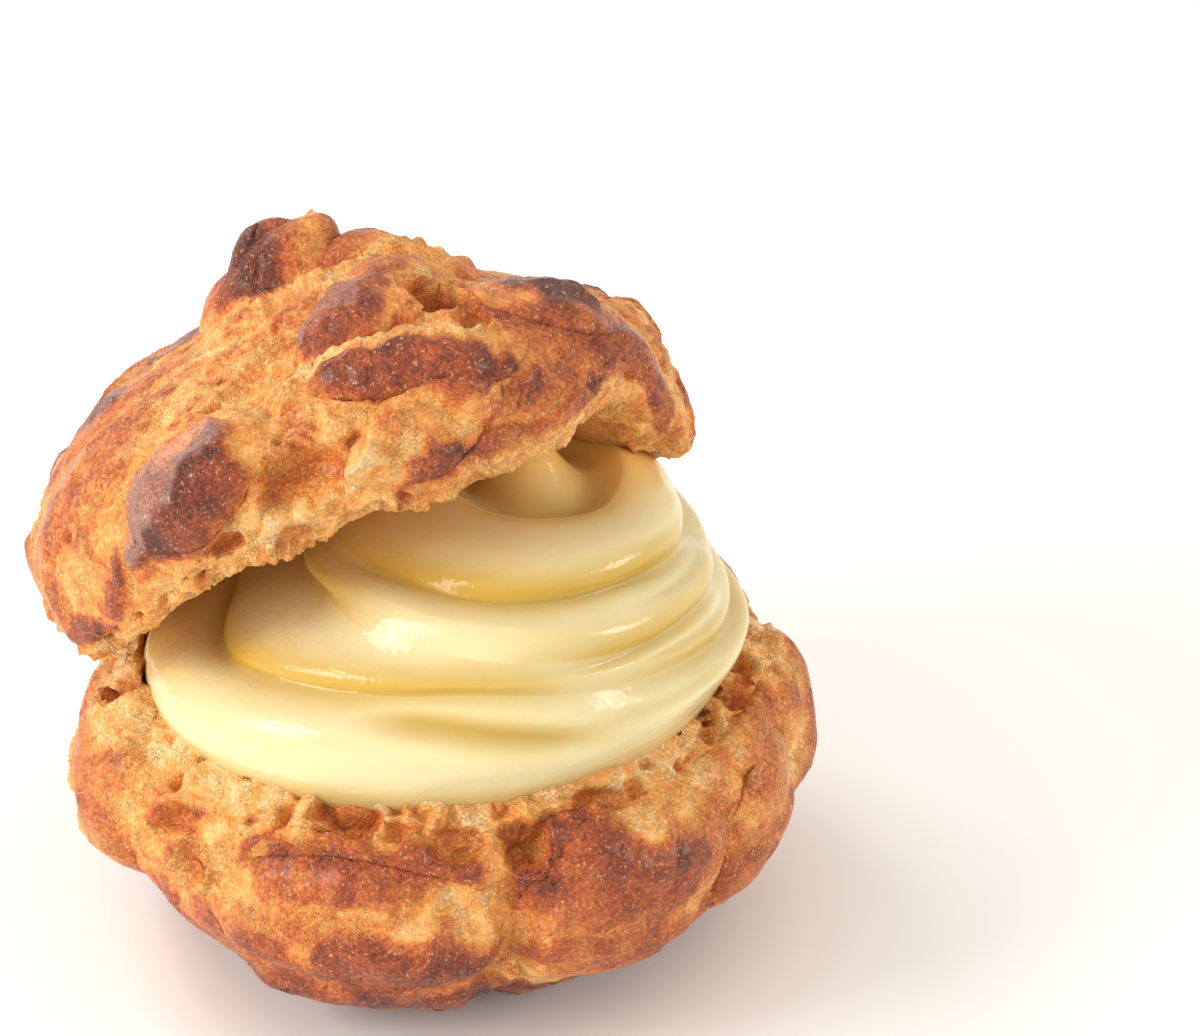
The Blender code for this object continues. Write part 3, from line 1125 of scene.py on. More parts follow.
@dataclass(frozen=True)
class LowerHalf(BunHalf):
    """The bowl of the bun, standing on its foot, with a torn rim and a hollow for the cream.

    Reaches are shares of its radius and levels are shares of its height.
    """

    radius: float = 39.4
    height: float = 33.0
    foot_reach: float = 0.36
    belly_level: float = 0.60
    edge_reach: float = 0.925  # where the baked skin ends and the torn rim begins
    edge_level: float = 0.90
    crest_reach: float = 0.85
    floor_level: float = 0.25
    waves: tuple[tuple[int, float, float], ...] = ((1, 2.3, 110.0), (3, 0.8, 30.0))
    droops: tuple[Droop, ...] = ()
    torn_rings: int = 24  # how far into the hollow the crumb is torn
    bottom_brown_and_shade: float = 0.80  # how dark the bottom is made: its browning, deepened as painted shade
    inside: float = 0.2  # and the hollow's wall

    @property
    def crest(self) -> float:
        """The reach of the rim's crest."""
        return self.crest_reach * self.radius

    def hollow_height(self, reach: np.ndarray) -> np.ndarray:
        """The floor and wall of the hollow."""
        floor = self.floor_level * self.height
        return floor + (self.height - floor) * np.clip(reach / self.crest, 0, 1) ** 3.2

    def outline(self) -> np.ndarray:
        """Rings from the middle of the foot, up the outside and down into the hollow.

        Returns:
            Reach and height of each ring.
        """
        foot = (self.foot_reach * self.radius, 0.0)
        belly = (self.radius, self.belly_level * self.height)
        edge = (self.edge_reach * self.radius, self.edge_level * self.height)
        torn = ((edge[0] + self.crest) / 2, (edge[1] + self.height) / 2 + 0.4)
        wall = [self.crest * (1 - (i / 60) ** 1.3) for i in range(61)]
        hollow = [(r, float(self.hollow_height(r))) for r in wall]
        return ring_outline(
            [
                Stretch(((0.0, 0.0), foot), 2.2),
                Stretch(tuple(quarter(foot, belly, False)), 0.44),
                Stretch(tuple(quarter(belly, edge, True)), 0.34),
                Stretch((edge, torn, (self.crest, self.height)), 0.30),
                Stretch(tuple(hollow[:9]), 0.5),
                Stretch(tuple(hollow[8:]), 2.4),
            ]
        )

    def shape(self) -> tuple[np.ndarray, Marks]:
        """Shapes the bowl.

        Returns:
            Its skin and its marks for the finish.
        """
        noise = Noise(self.seed + 7)
        rings = self.outline()
        points = ring_point(self.bearings()[None, :], rings[:, :1], rings[:, 1:])
        top = int(rings[:, 1].argmax())
        row = np.arange(len(rings))[:, None] * np.ones((1, self.sectors))
        points = self.swollen(points)
        points[..., 2] += wave(self.waves, points, self.radius) * np.clip(points[..., 2] / self.height, 0, 1)

        height = points[..., 2]
        edge = self.edge_level * self.height + wave(self.waves, points, self.radius)
        edge_noise = 0.9 * noise.smooth(points, 5.0) + 0.6 * noise.smooth(points, 1.8)
        torn = np.where(row < top, eased(-0.5, 0.9, height - edge + edge_noise), 1.0)
        skin = (1 - torn) * eased(0.4, 2.0, height) * (0.25 + 0.75 * eased(1.0, 9.0, height))
        points, marks = self.crust(points, skin, torn * (row < top + self.torn_rings))

        shoulder = np.exp(-(((row - top) / 15.0) ** 2)) * (row < top + 6)
        for droop in self.droops:
            points[..., 2] -= droop.at(bearing_of(points)) * shoulder
        rim = np.exp(-(((row - top) / 9.0) ** 2))
        jag = 0.5 * noise.smooth(points, 4.0) + 0.25 * noise.smooth(points, 1.6)
        points[..., 2] += rim * jag
        # Darker towards the bottom: browning, deepened as painted shade.
        under = eased(11.0, 5.0, points[..., 2]) * (row < top)
        bottom = under * (self.bottom_brown_and_shade + 0.1 * noise.smooth(points, 4.0))
        marks["browning"] = np.maximum(marks["browning"], bottom)
        hidden = eased(top + 20, top + 30, row)
        marks["browning"] = marks["browning"] * (1 - hidden) + self.inside * hidden
        points[..., 2] = np.maximum(points[..., 2], 0)
        return points, marks

    def finish(self) -> CrustFinish:
        """The lower half's crust."""
        return CrustFinish("choux_base_crust", Bake.LOWER_HALF)


@dataclass(frozen=True)
class Lid(BunHalf):
    """The cap of the bun, tipped back on the cream. In its own frame its axis is Z and its rim at about 0."""

    radius: float = 37.2
    height: float = 25.0
    waves: tuple[tuple[int, float, float], ...] = ((1, 1.6, 20.0), (2, 1.7, 10.0))
    place: tuple[float, float, float] = (-7.0, 3.0, 48.6)
    roll: float = -23.0  # degrees about Y: its right side is up
    pitch: float = -22.0  # degrees about X: its front is up
    droops: tuple[Droop, ...] = ()
    closed: Droop = Droop(86, 13, 2.4)  # where the crust reaches down over the torn rim
    torn_edge: tuple[float, float] = (2.6, 1.2)  # heights over which the crust ends and torn crumb begins
    knob_lean: tuple[float, float, float] = (2.4, 0.0, 0.6)  # how far the knob on top leans over
    rim_share: float = 0.94  # the torn rim's radius against the lid's
    ledge_share: float = 0.80  # the same for the ledge inside it
    underside: float = 0.22  # how far the hollow underside has browned

    def matrix(self) -> np.ndarray:
        """From the lid's frame to the puff's."""
        turn = Euler((math.radians(self.pitch), math.radians(self.roll), 0.0), "XYZ").to_matrix().to_4x4()
        return np.array(Matrix.Translation(self.place) @ turn)

    def ceiling_height(self, reach: np.ndarray) -> np.ndarray:
        """The lid's underside.

        Args:
            reach: Distance from the axis.

        Returns:
            Height of the torn ledge or the hollow underside, in the lid's frame.
        """
        rim, ledge = self.rim_share * self.radius, self.ledge_share * self.radius
        share = np.clip(reach / ledge, 0, 1)
        return 0.36 * self.height * (1 - share**2) + 0.6 * np.clip((rim - reach) / (rim - ledge), 0, 1)

    def outline(self) -> np.ndarray:
        """Rings from the middle of the hollow, out along the torn rim, and up the outside to the top.

        Returns:
            Reach and height of each ring.
        """
        belt = (self.radius, 0.27 * self.height)
        rim, ledge = (self.rim_share * self.radius, 0.0), self.ledge_share * self.radius
        inner, outer = np.linspace(0, ledge, 30), np.linspace(ledge, rim[0], 8)
        return ring_outline(
            [
                Stretch(tuple((float(r), float(self.ceiling_height(r))) for r in inner), 2.2),
                Stretch(tuple((float(r), float(self.ceiling_height(r))) for r in outer), 0.5),
                Stretch(tuple(quarter(rim, belt, False)), 0.32),
                Stretch(tuple(quarter(belt, (0.0, self.height), True)), 0.40),
            ]
        )

    def shape(self) -> tuple[np.ndarray, Marks]:
        """Shapes the cap and tips it into its place.

        Returns:
            Its skin and its marks for the finish.
        """
        noise = Noise(self.seed + 7)
        rings = self.outline()
        points = ring_point(self.bearings()[None, :], rings[:, :1], rings[:, 1:])
        row = np.arange(len(rings))[:, None] * np.ones((1, self.sectors))
        rim_row = int(rings[:, 1].argmin())
        plain = points
        points = self.swollen(plain)
        raised = np.linalg.norm(points - plain, axis=-1, keepdims=True)
        points = points + np.array(self.knob_lean) * eased(3.5, 9.0, raised)
        lift = wave(self.waves, points, self.radius) * np.clip(1 - points[..., 2] / self.height, 0, 1)
        points[..., 2] += lift

        level = points[..., 2] - lift
        bearing = bearing_of(points)
        hang = sum(droop.at(bearing) for droop in self.droops)
        edge_noise = 0.8 * noise.smooth(points, 5.0) + 0.5 * noise.smooth(points, 1.8) + 0.35 * hang
        edge_noise += self.closed.at(bearing)
        torn = np.where(row >= rim_row, eased(*self.torn_edge, level + edge_noise), 1.0)
        skin = 1 - torn
        shown = torn * (row > rim_row - 10)
        points, marks = self.crust(points, skin, shown)

        points[..., 2] -= hang * eased(11.0, 0.5, level)
        rim = np.exp(-(((row - rim_row) / 5.0) ** 2))
        jag = 0.55 * noise.smooth(points, 3.0) + 0.65 * noise.smooth(points, 1.2)
        points[..., 2] += rim * jag
        hidden = eased(rim_row - 8, rim_row - 11, row)
        marks["browning"] = marks["browning"] * (1 - hidden) + self.underside * hidden
        tip = self.matrix()
        return points @ tip[:3, :3].T + tip[:3, 3], marks

    def finish(self) -> CrustFinish:
        """The lid's crust."""
        return CrustFinish("choux_lid_crust", Bake.LID)


@dataclass(frozen=True)
class Crease:
    """A fold line round the cream: where it lies at some bearings, and how far it has run out there.

    Each point is a bearing, the reach from the leaning axis, the height, and how far the fold has faded.
    """

    points: tuple[tuple[float, float, float, float], ...]

    def at(self, bearings: np.ndarray) -> np.ndarray:
        """Follows the fold round the cream.

        Args:
            bearings: Where it is wanted, in degrees.

        Returns:
            Reach, height and fading at each bearing, running smoothly round.
        """
        knots = np.array(self.points)
        fine = np.arange(-180.0, 180.0, 2.0)
        window = np.hanning(15)
        made = []
        for column in range(1, 4):
            values = np.interp(fine, knots[:, 0], knots[:, column], period=360)
            padded = np.concatenate([values[-30:], values, values[:30]])
            soft = np.convolve(padded, window / window.sum(), "same")[30:-30]
            made.append(np.interp(bearings, fine, soft, period=360))
        return np.stack(made)


@dataclass(frozen=True)
class Groove:
    """A shallow furrow along one band of the cream, or a low ridge where depth is below zero."""

    band: int
    first: tuple[float, float]  # bearing, and share of the way up the band
    last: tuple[float, float]
    depth: float
    width: float  # as a share of the band

    def depth_at(self, bearings: np.ndarray, share: np.ndarray) -> np.ndarray:
        """How deep it is at each bearing and share of the way up its band.

        Args:
            bearings: Where it is wanted, in degrees.
            share: How far up the band.

        Returns:
            Its depth at each place.
        """
        (b0, s0), (b1, s1) = self.first, self.last
        along = np.clip((bearings - b0) / (b1 - b0), 0, 1)
        ends = eased(0.0, 0.3, along) * eased(1.0, 0.7, along)
        middle = s0 + (s1 - s0) * along
        return self.depth * ends * np.exp(-(((share - middle) / self.width) ** 2))


@dataclass(frozen=True)
class Band:
    """A fold of cream between two creases."""

    rings: int
    bulges: tuple[float, float, float, float]  # at the left, front, right and back
    heaviness: float = 0.85  # below 1 the fold hangs over the crease under it

    def bulge(self, bearings: np.ndarray) -> np.ndarray:
        """How far it bulges at each bearing."""
        places = zip((-90, 0, 90, 179), self.bulges)
        return Crease(tuple((place, bulge, 0.0, 0.0) for place, bulge in places)).at(bearings)[0]


@dataclass(frozen=True)
class Shade:
    """How much shade is painted on the cream near a crease, and over what distance."""

    depth: float
    reach: float

    def at(self, apart: np.ndarray) -> np.ndarray:
        """The depth at each distance from the crease."""
        return self.depth * np.exp(-((apart / self.reach) ** 2))


@dataclass(frozen=True)
class Cream:
    """The custard cream: piped in a rising swirl that leans to the right and fills the hollow under it."""

    bun: LowerHalf
    lid: Lid
    creases: tuple[Crease, ...]  # from the rim up to the lip of the last fold
    bands: tuple[Band, ...]
    grooves: tuple[Groove, ...]
    lean: float = 0.5  # how far the axis moves right for each millimetre up
    lean_foot: float = 35.0
    axis_foot: tuple[float, float] = (-0.6, -1.0)
    floor_gap: float = 0.3
    top_height: float = 60.5
    # Painted shade along the creases: at the rim, at the foot of each later fold, and at its top.
    first_foot: Shade = Shade(0.35, 1.5)  # at the rim
    fold_foot: Shade = Shade(0.62, 2.8)
    fold_top: Shade = Shade(0.4, 1.6)
    # Painted shade down in the grooves.
    furrow_shade: float = 0.28
    hollow_shade: float = 0.36  # painted shade in the hollow of the last fold
    hollow_sink: float = 3.4
    fade_reach: float = 3.5
    lid_press: float = 0.6  # over how much height the cream flattens against the lid
    sectors: int = 600
    seed: int = 5

    def placed(self, bearings: np.ndarray, reach: np.ndarray, height: np.ndarray) -> np.ndarray:
        """Points about the leaning axis.

        Args:
            bearings: Degrees round the axis.
            reach: Distance from the axis.
            height: Height of each point.

        Returns:
            The points.
        """
        points = ring_point(bearings, reach, height)
        points[..., 0] += self.axis_foot[0] + self.lean * np.clip(height - self.lean_foot, 0, None)
        points[..., 1] += self.axis_foot[1]
        return points

    def profile(self, bearings: np.ndarray) -> tuple[np.ndarray, np.ndarray, np.ndarray]:
        """Draws the cream's outline at each bearing.

        Args:
            bearings: The sectors' bearings.

        Returns:
            Reach and height of the visible skin (two by rings by sectors), how much shade is painted on each
            point for lying deep in a fold, and how much each point is to be smoothed.
        """
        knots = [crease.at(bearings) for crease in self.creases]
        lines, fold_shades, fades = [], [], []
        for k, band in enumerate(self.bands):
            low, high = knots[k], knots[k + 1]
            share = (np.arange(band.rings) / band.rings)[:, None]
            along = high[:2] - low[:2]
            length = np.hypot(*along)
            out = np.stack([along[1], -along[0]]) / np.maximum(length, 1e-6)
            swell = band.bulge(bearings) * np.sin(np.pi * share**band.heaviness) ** 0.8
            furrow = np.zeros_like(swell)
            for groove in self.grooves:
                if groove.band == k:
                    furrow = furrow + groove.depth_at(bearings[None, :], share)
            swell = swell - furrow
            lines.append(low[:2, None] + along[:, None] * share + out[:, None] * swell)
            edge = np.minimum(share * length, (1 - share) * length)
            # Painted shade near the crease below, near the one above, and in the grooves.
            below, above = self.fold_foot if k else self.first_foot, self.fold_top
            depth = below.at(share * length) * (1 - low[2])
            depth = np.maximum(depth, above.at((1 - share) * length) * (1 - high[2]))
            depth = np.maximum(depth, self.furrow_shade * furrow)
            fold_shades.append(depth * np.ones_like(swell))
            fade = np.where(share < 0.5, low[2], high[2]) * Shade(1.0, self.fade_reach).at(edge)
            fades.append(fade * np.ones_like(swell))
        lines.append(knots[-1][:2, None])
        fold_shades.append(np.zeros((1, len(bearings))))
        fades.append(np.zeros((1, len(bearings))))
        return np.concatenate(lines, axis=1), np.concatenate(fold_shades), np.concatenate(fades)

    def softened(self, line: np.ndarray, fades: np.ndarray) -> np.ndarray:
        """Rounds the creases slightly, and far more where they have faded out.

        Args:
            line: Reach and height of the skin.
            fades: How much each point is to be smoothed.

        Returns:
            The smoothed line.
        """
        passes, everywhere, slight, strength = 60, 2, 0.25, 0.9
        for turn in range(passes):
            share = np.clip(fades + slight if turn < everywhere else fades, 0, 1)[None, 1:-1]
            middle = (line[:, :-2] + line[:, 2:]) / 2
            line[:, 1:-1] += strength * share * (middle - line[:, 1:-1])
        return line

    def under_lid(self, points: np.ndarray) -> tuple[np.ndarray, np.ndarray]:
        """Presses the cream down where it would come through the lid.

        Args:
            points: The cream's skin.

        Returns:
            The pressed skin, and a share that is 1 right under the lid.
        """
        tip = self.lid.matrix()
        back = np.linalg.inv(tip)
        local = points @ back[:3, :3].T + back[:3, 3]
        ceiling = self.lid.ceiling_height(reach_of(local)) + wave(self.lid.waves, local, self.lid.radius)
        over = local[..., 2] - ceiling - 0.1
        local[..., 2] -= self.lid_press * np.log1p(np.exp(np.clip(over / self.lid_press, -30, 30)))
        near = eased(-12.0, -1.5, over) * eased(44.0, 36.0, reach_of(local))
        return local @ tip[:3, :3].T + tip[:3, 3], near

    def shape(self) -> tuple[np.ndarray, Marks]:
        """Shapes the cream.

        Returns:
            Its skin and its marks for the finish.
        """
        noise = Noise(self.seed)
        bearings = np.linspace(-180, 180, self.sectors, endpoint=False)
        line, fold_shades, fades = self.profile(bearings)
        line = self.softened(line, fades)
        shown = self.placed(bearings[None, :], line[0], line[1])
        hidden = []
        for share in np.linspace(0, 1, 12)[:-1]:
            reach = share * self.bun.crest
            height = self.bun.hollow_height(reach) + self.floor_gap
            wall = ring_point(bearings, np.full_like(bearings, reach), height)
            wall[..., 2] += wave(self.bun.waves, wall, self.bun.radius)
            hidden.append(wall)
        lip = shown[-1]
        heart = np.array([lip[:, 0].mean(), lip[:, 1].mean(), self.top_height])
        inner = []
        for share in np.linspace(0, 1, 26)[1:]:
            sink = self.hollow_sink * np.sin(np.pi * min(share * 1.25, 1.0)) ** 1.2
            ring = lip + (heart - lip) * share
            ring[:, 2] = lip[:, 2] * (1 - share) + heart[2] * share - sink
            inner.append(ring)
        points = np.concatenate([np.array(hidden), shown, np.array(inner)])
        # Painted shade: none on the hidden wall, the folds' shade on the shown skin, and an even shade in the
        # last fold's hollow.
        below = np.zeros((len(hidden), len(bearings)))
        above = np.full((len(inner), len(bearings)), self.hollow_shade)
        fold = np.concatenate([below, fold_shades, above])
        normals = grid_normals(points)
        free = eased(len(hidden), len(hidden) + 8, np.arange(len(points)))[:, None]
        stroke = points * np.array([0.35, 0.35, 1.0])
        relief = 0.35 * noise.smooth(points, 13.0) + 0.14 * noise.smooth(stroke, 3.2)
        points = points + normals * (relief * free)[..., None]
        points, near = self.under_lid(points)
        # The shade painted in the folds gives way to the shade painted right under the lid.
        return points, {"fold": np.clip(fold * (1 - near), 0, 1), "shade": near}

    def build(self) -> bpy.types.Object:
        """Builds the cream, dresses it and ties it to the frame.

        Returns:
            The piece.
        """
        points, marks = self.shape()
        made = skin_mesh("custard_cream_swirl", points, marks)
        made.data.materials.append(CreamFinish("custard_cream_gloss").material())
        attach(made, BODY)
        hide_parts("cream_filling")
        return made


@dataclass(frozen=True)
class Lamp:
    """A soft square lamp aimed at the puff."""

    name: str
    bearing: float
    elevation: float
    distance: float  # in metres, as its size is
    size: float
    watts: float
    colour: Colour
    mirrored: bool = True  # whether glossy skins show it


@dataclass(frozen=True)
class Studio:
    """A pale table, soft lamps and a camera that looks down on the puff. Its lengths are in metres."""

    lamps: tuple[Lamp, ...]
    floor_colour: Colour = (0.95, 0.96, 0.97)
    floor_reach: float = 3.0
    sky_colour: Colour = (1.0, 0.95, 0.87)
    sky: float = 0.80
    elevation: float = 30.0
    distance: float = 0.7793
    lens: float = 207.6  # in millimetres
    aim_right: float = 0.0202  # the puff stands left of the middle of the view
    aim_up: float = 0.0076

    def floor(self) -> bpy.types.Object:
        """Makes the table, a wide plain sheet.

        Returns:
            The sheet.
        """
        mesh = bpy.data.meshes.new("table_top")
        far = self.floor_reach
        mesh.from_pydata([(-far, -far, 0), (far, -far, 0), (far, far, 0), (-far, far, 0)], [], [(0, 1, 2, 3)])
        made = bpy.data.objects.new("table_top", mesh)
        bpy.context.scene.collection.objects.link(made)
        nodes = Nodes("table_paint")
        shaded = tuple(0.99 * part for part in self.floor_colour)
        tint = nodes.mix(nodes.noise(60.0, 3.0), self.floor_colour, shaded)
        nodes.put(nodes.shader.inputs["Base Color"], tint)
        nodes.shader.inputs["Roughness"].default_value = 0.7
        mesh.materials.append(nodes.material)
        return made

    def light(self, middle: Vector) -> None:
        """Hangs the lamps and sets the light that comes from all round.

        Args:
            middle: What the lamps are aimed at.
        """
        for lamp in self.lamps:
            data = bpy.data.lights.new(lamp.name, "AREA")
            data.size, data.energy, data.color = lamp.size, lamp.watts, lamp.colour
            made = bpy.data.objects.new(lamp.name, data)
            tilt = math.radians(lamp.elevation)
            away = ring_point(np.array(lamp.bearing), math.cos(tilt), math.sin(tilt))
            made.location = middle + Vector(away) * lamp.distance
            made.rotation_mode = "QUATERNION"
            made.rotation_quaternion = Vector(-away).to_track_quat("-Z", "Y")
            made.visible_glossy = lamp.mirrored
            bpy.context.scene.collection.objects.link(made)
        world = bpy.data.worlds.new("studio_room")
        world.use_nodes = True
        background = world.node_tree.nodes["Background"]
        background.inputs["Color"].default_value = (*self.sky_colour, 1.0)
        background.inputs["Strength"].default_value = self.sky
        bpy.context.scene.world = world

    def camera(self, middle: Vector) -> bpy.types.Object:
        """Sets up the camera.

        Args:
            middle: The puff's middle.

        Returns:
            The camera, aimed a little up and to the right of the puff's middle.
        """
        tilt = math.radians(self.elevation)
        ahead = Vector((0.0, math.cos(tilt), -math.sin(tilt)))
        up = Vector((0.0, math.sin(tilt), math.cos(tilt)))
        data = bpy.data.cameras.new("camera")
        data.lens = self.lens
        data.clip_start, data.clip_end = 0.01, 20.0
        made = bpy.data.objects.new("camera", data)
        made.location = middle + Vector((self.aim_right, 0, 0)) + up * self.aim_up - ahead * self.distance
        made.rotation_mode = "QUATERNION"
        made.rotation_quaternion = ahead.to_track_quat("-Z", "Y")
        bpy.context.scene.collection.objects.link(made)
        bpy.context.scene.camera = made
        return made

    def build(self) -> None:
        """Sets up the table, the lamps and the camera."""
        low, high = CAD_BOUNDS
        middle = Vector((0.0, 0.0, (low.z + high.z) / 2))
        self.floor()
        self.light(middle)
        self.camera(middle)
        bpy.context.scene.view_settings.view_transform = "Standard"


LOWER_BLISTERS = (
    Blister(-12, 2, 34, 14, -4, 2.4),
    Blister(-12, -18, 32, 13, 6, 1.0),
    Blister(34, 0, 28, 20, 12, 2.4),
    Blister(66, -2, 20, 14, 40, 2.0),
    Blister(88, 8, 22, 16, 70, 2.2),
    Blister(-70, 6, 24, 17, -75, 2.2),
    Blister(150, 4, 30, 18, 15, 1.8),
    Blister(-140, -2, 26, 20, -20, 1.8),
    Blister(12, -12, 32, 8, 84, -1.5),
    Blister(-58, -20, 40, 26, 35, -2.2),
)
LOWER_PLATES = (
    Plate(-11, 9.0, 31, 10.5, 2, 2.2, 0.72, 0.5, 0.45),
    Plate(-21, 1.4, 20, 9.0, 12, 1.2, 0.50, 0.4, 0.2),
    Plate(-4, -5.4, 25, 13.0, 2, 2.0, 0.78, 0.5, 0.35),
    Plate(-35, -9, 28, 15, 16, 1.7, 0.66, 0.45, 0.3),
    Plate(-17, -17, 28, 11, 10, 1.2, 0.76, 0.45, 0.3),
    Plate(4, -18, 26, 10, -6, 1.0, 0.84, 0.45, 0.3),
    Plate(30, 6.5, 28, 14, -14, 2.2, 0.76, 0.5, 0.35),
    Plate(33, -8, 28, 12, -18, 1.4, 0.64, 0.4, 0.3),
    Plate(47, 2, 18, 15, 10, 1.3, 0.52, 0.4, 0.3),
    Plate(68, 12, 20, 14, 22, 1.8, 0.54, 0.45, 0.2),
    Plate(64, -6, 20, 13, 20, 1.3, 0.58, 0.4, 0.3),
    Plate(-69, 11, 23, 13, -70, 1.8, 0.54, 0.5, 0.1),
    Plate(-60, -6, 20, 12, -50, 1.2, 0.52, 0.35, 0.3),
    Plate(-88, 0, 22, 14, -60, 1.4, 0.58, 0.4, 0.2),
    Plate(90, 3, 22, 14, 75, 1.6, 0.58, 0.4, 0.2),
)
LOWER_PITS = (
    Pit(-15, 15.6, 8.6, 3.8, 8, 3.0, 0.50),
    Pit(-5, 15.6, 4.6, 2.4, 3, 1.4, 0.42),
    Pit(5, 13.8, 6.0, 3.2, -7, 1.8, 0.44),
    Pit(15.6, 13.2, 6.4, 4.2, -6, 3.0, 0.50),
    Pit(32, 17.2, 6.8, 2.4, -5, 1.8, 0.40),
    Pit(-48, 8.6, 6.6, 4.6, 22, 2.6, 0.44),
    Pit(-43, 3.0, 5.6, 5.4, 60, 2.4, 0.42),
    Pit(-76, 17.1, 7.6, 3.4, 23, 2.2, 0.48),
    Pit(71.5, 19.2, 6.0, 4.8, -31, 2.6, 0.50),
)
LOWER_FISSURES = (
    Fissure(11, 2, 34, 4.0, 87, 0.8),
    Fissure(57, 8, 26, 3.6, 54, 0.7),
    Fissure(-31, 6, 15, 3.0, 44, 0.6),
    Fissure(-47, 5, 26, 5.5, -72, 0.7),
    Fissure(-9, 4.8, 22, 2.4, 3, 0.5),
)
LOWER_DROOPS = (Droop(-28, 28, -2.5), Droop(-80, 16, -1.2), Droop(57, 17, 1.3))
LID_BLISTERS = (
    Blister(90, 88, 15, 15, 0, 7.6),
    Blister(-60, 86.5, 7.5, 9, 0, 8.4),
    Blister(-90, 84, 17, 16, 0, 5.0),
    Blister(90, 71, 27, 12, 90, 4.6),
    Blister(55, 74, 30, 24, -20, 2.6),
    Blister(112, 38, 44, 26, 0, -2.6),
    Blister(80, 64, 24, 18, 0, 1.4),
    Blister(33, 45, 27, 12, 36, 2.6),
    Blister(66, 25, 16, 12, -36, 1.2),
    Blister(31, 24, 24, 9.5, -14, 2.0),
    Blister(-13, 20, 18, 14, 30, 2.2),
    Blister(26, 11, 18, 9, 15, 1.6),
    Blister(-52, 17, 26, 16, 50, 0.6),
    Blister(150, 28, 24, 16, -20, 1.4),
    Blister(-130, 30, 26, 18, 25, 2.0),
    Blister(0, 36, 24, 8, 42, -1.4),
)
LID_PLATES = (
    Plate(-80, 86, 18, 16, 0, 0.8, 0.90, 0.5, 0.0, 0.3),
    Plate(88, 72, 15, 10, -20, 0.8, 0.62, 0.5, 0.0, 0.3),
    Plate(25, 42, 17, 10.5, 36, 2.2, 0.76, 0.85, 0.0, 0.40),
    Plate(46, 52, 17, 8.0, 34, 1.5, 0.54, 0.5, 0.0, 0.3),
    Plate(66, 24.5, 12, 8.5, -40, 1.8, 0.97, 0.9, 0.2),
    Plate(63, 16.5, 29, 15.5, -48, 1.7, 0.72, 0.7, 0.3),
    Plate(60.5, 6.5, 6.0, 4.0, -20, 0.8, 0.82, 0.5, 0.0),
    Plate(33, 20.0, 26, 8.4, -22, 2.8, 0.80, 0.5, 0.5),
    Plate(29, 26.6, 22, 3.0, -20, 2.2, 0.04, 0.2, 0.5),
    Plate(-17.0, 18.4, 19.5, 11.2, 32, 3.0, 0.85, 1.0, -0.2, 0.15),
    Plate(25, 6.8, 15, 5.4, 3, 1.7, 0.82, 0.5, 0.3),
    Plate(44, 6.8, 26, 5.6, -4, 1.7, 0.60, 0.4, 0.3),
    Plate(10, 12.3, 20, 3.4, 10, 2.3, 0.10, 0.2, 0.3),
    Plate(-54, 16, 34, 11.0, 70, 1.2, 0.52, 0.5, 0.0),
    Plate(-40, 28, 25, 10.0, 62, 1.0, 0.54, 0.5, 0.1),
    Plate(-38, 9.5, 11, 4.4, 34, 1.0, 0.72, 0.5, 0.0),
    Plate(-62, 38, 26, 9.0, 60, 1.0, 0.56, 0.5, 0.1),
    Plate(-54, 3, 17, 5.0, 0, 0.9, 0.80, 0.5, 0.0),
    Plate(62, 56, 16, 8, -20, 0.7, 0.50, 0.4, 0.2),
    Plate(93, 41, 16, 11, 30, 0.7, 0.50, 0.4, 0.2),
    Plate(76, 4, 14, 7, -20, 1.2, 0.60, 0.4, 0.2),
)
LID_PITS = (
    Pit(48, 38, 6.8, 8.8, 10, 4.0, 0.46),
    Pit(43.5, 26.5, 5.6, 3.6, 30, 1.8, 0.42),
    Pit(5, 14.0, 10.4, 6.6, 4, 3.2, 0.42),
    Pit(-12, 9, 4.6, 2.6, -6, 1.3, 0.42),
    Pit(-1, 5.8, 3.8, 2.2, -6, 1.1, 0.38),
)
LID_FISSURES = (
    Fissure(8, 66, 20, 7.0, 50, 0.3),
    Fissure(-1, 34, 26, 7.0, 42, 0.5),
    Fissure(34, 15.5, 30, 2.6, 10, 0.3),
    Fissure(53, 31, 14, 7.0, -30, 0.4),
    Fissure(-33, 9, 14, 3.0, 60, 0.4),
    Fissure(-46, 16.4, 14, 2.0, 57, 0.5),
    Fissure(-35, 18, 12, 1.8, 57, 0.5),
    Fissure(-31, 29, 10, 2.0, 61, 0.5),
    Fissure(-28, 38, 8, 2.0, 48, 0.4),
)
LID_TANS = (
    Tan(33, 12, 22, 9, -10, 0.14),
    Tan(-60, 20, 60, 44, 0, 0.17),
    Tan(70, 22, 40, 36, 0, 0.10),
    Tan(0, 60, 30, 14, 50, -0.10),
    Tan(0, 40, 30, 10, 45, -0.10),
)
LID_DROOPS = (Droop(-50, 24, 1.8), Droop(68, 10, -3.6), Droop(98, 14, 5.6))

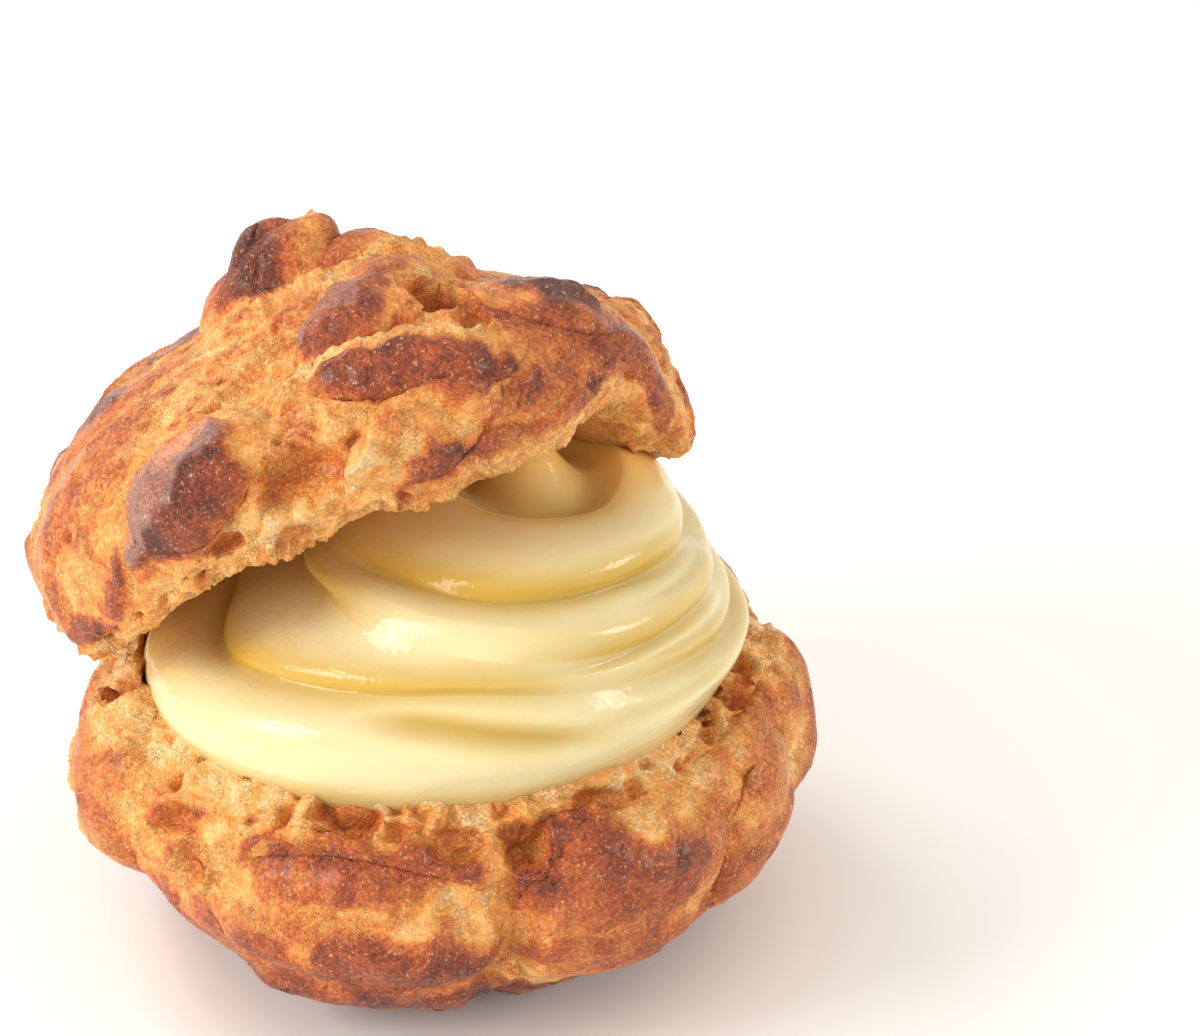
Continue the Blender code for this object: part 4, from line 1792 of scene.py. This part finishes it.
CREAM_CREASES = (
    Crease(
        (
            (-130, 31.6, 32.4, 0), (-90, 32.2, 32.4, 0), (-50, 33.5, 32.4, 0),
            (0, 33.8, 33.0, 0), (56, 33.8, 33.2, 0), (90, 33.8, 33.2, 0), (179, 33.0, 33, 0),
        )
    ),
    Crease(
        (
            (-90, 23.0, 38.5, 0), (-67, 27.0, 39.6, 0), (-50, 30.4, 41.8, 0),
            (-38, 30.6, 43, 0), (0, 30.0, 45.4, 0.05), (12, 30.0, 45.0, 0.2),
            (28, 30.0, 44.0, 0.9), (42, 30.0, 42.8, 0.3), (60, 30.4, 41, 0.1),
            (90, 31.3, 37.6, 0.2), (179, 28, 39, 0.5),
        )
    ),
    Crease(
        (
            (-90, 18, 46, 0.2), (-60, 20.6, 48.2, 0.0), (-44, 23.2, 48.8, 0.1),
            (-28, 26.8, 48.4, 0.9), (0, 29.0, 47.8, 1.0), (14, 29.2, 47.2, 0.5),
            (30, 29.0, 46.6, 0.05), (45, 28, 46.2, 0), (70, 27, 45, 0.1), (90, 26.3, 43.2, 0.2),
            (179, 24, 45, 0.5),
        )
    ),
    Crease(
        (
            (-90, 18, 50, 0.2), (-58, 20.4, 51.8, 0.1), (-29, 21.6, 52.2, 0.0),
            (0, 24.0, 52.4, 0), (45, 22, 51.6, 0), (70, 21, 50, 0.2), (90, 20, 48, 0.3),
            (179, 18, 50, 0.5),
        )
    ),
    Crease(
        (
            (-90, 9, 56, 0), (-45, 10, 56.5, 0), (0, 12, 56.6, 0), (45, 13.5, 56.4, 0),
            (90, 10, 58, 0), (179, 8, 57, 0),
        )
    ),
)

CREAM_BANDS = (
    Band(45, (3.4, 3.0, 2.9, 3.0), 1.15),
    Band(26, (2.2, 1.2, 1.8, 2.0), 0.62),
    Band(30, (1.8, 2.8, 2.0, 2.0), 0.62),
    Band(30, (1.6, 2.6, 2.5, 2.0), 0.62),
)
CREAM_GROOVES = (
    Groove(0, (-24.0, 0.86), (38.0, 0.46), 1.9, 0.12),
    Groove(0, (20.0, 0.62), (75.0, 0.70), 0.5, 0.08),
    Groove(0, (44.0, 0.80), (92.0, 0.84), 0.5, 0.04),
    Groove(1, (30.0, 0.45), (88.0, 0.52), 0.5, 0.10),
    Groove(2, (34.0, 0.55), (84.0, 0.60), 0.5, 0.08),
    Groove(3, (38.0, 0.30), (84.0, 0.24), 0.5, 0.06),
)

LAMPS = (
    Lamp("window_lamp", -66, 28, 0.75, 0.32, 2.7, (1.0, 0.97, 0.92)),
    Lamp("back_lamp", -130, 42, 0.8, 0.34, 2.0, (1.0, 0.98, 0.95)),
    Lamp("fill_lamp", 72, 24, 0.85, 0.26, 1.9, (1.0, 0.96, 0.90)),
    Lamp("low_lamp", -56, 9, 0.85, 0.45, 2.3, (1.0, 0.94, 0.84), False),
)


def main() -> None:
    """Builds the lower half, the lid, the cream and the studio."""
    logging.basicConfig(level=logging.INFO, format="%(name)s: %(message)s")
    lower = LowerHalf(
        node="base_shell",
        piece="choux_lower_half",
        slot="choux_base",
        heart=(0.0, 0.0, 19.8),
        blisters=LOWER_BLISTERS,
        plates=LOWER_PLATES + scattered_plates(11, 60, (110, 262), (-30, 18), (12, 24)),
        pits=LOWER_PITS,
        fissures=LOWER_FISSURES,
        seed=3,
        amber=0.32,
        droops=LOWER_DROOPS,
    )
    lid = Lid(
        node="lid_shell",
        piece="choux_lid_half",
        slot="choux_lid",
        heart=(0.0, 0.0, 0.0),
        blisters=LID_BLISTERS,
        plates=LID_PLATES + scattered_plates(12, 70, (112, 290), (5, 62), (11, 22)),
        pits=LID_PITS,
        fissures=LID_FISSURES,
        seed=4,
        droops=LID_DROOPS,
        tans=LID_TANS,
    )
    cream = Cream(bun=lower, lid=lid, creases=CREAM_CREASES, bands=CREAM_BANDS, grooves=CREAM_GROOVES)
    for part in (lower, cream, lid):
        made = part.build()
        LOG.info("%s: %d faces", made.name, len(made.data.polygons))
    Studio(lamps=LAMPS).build()


if __name__ == "__main__":
    main()
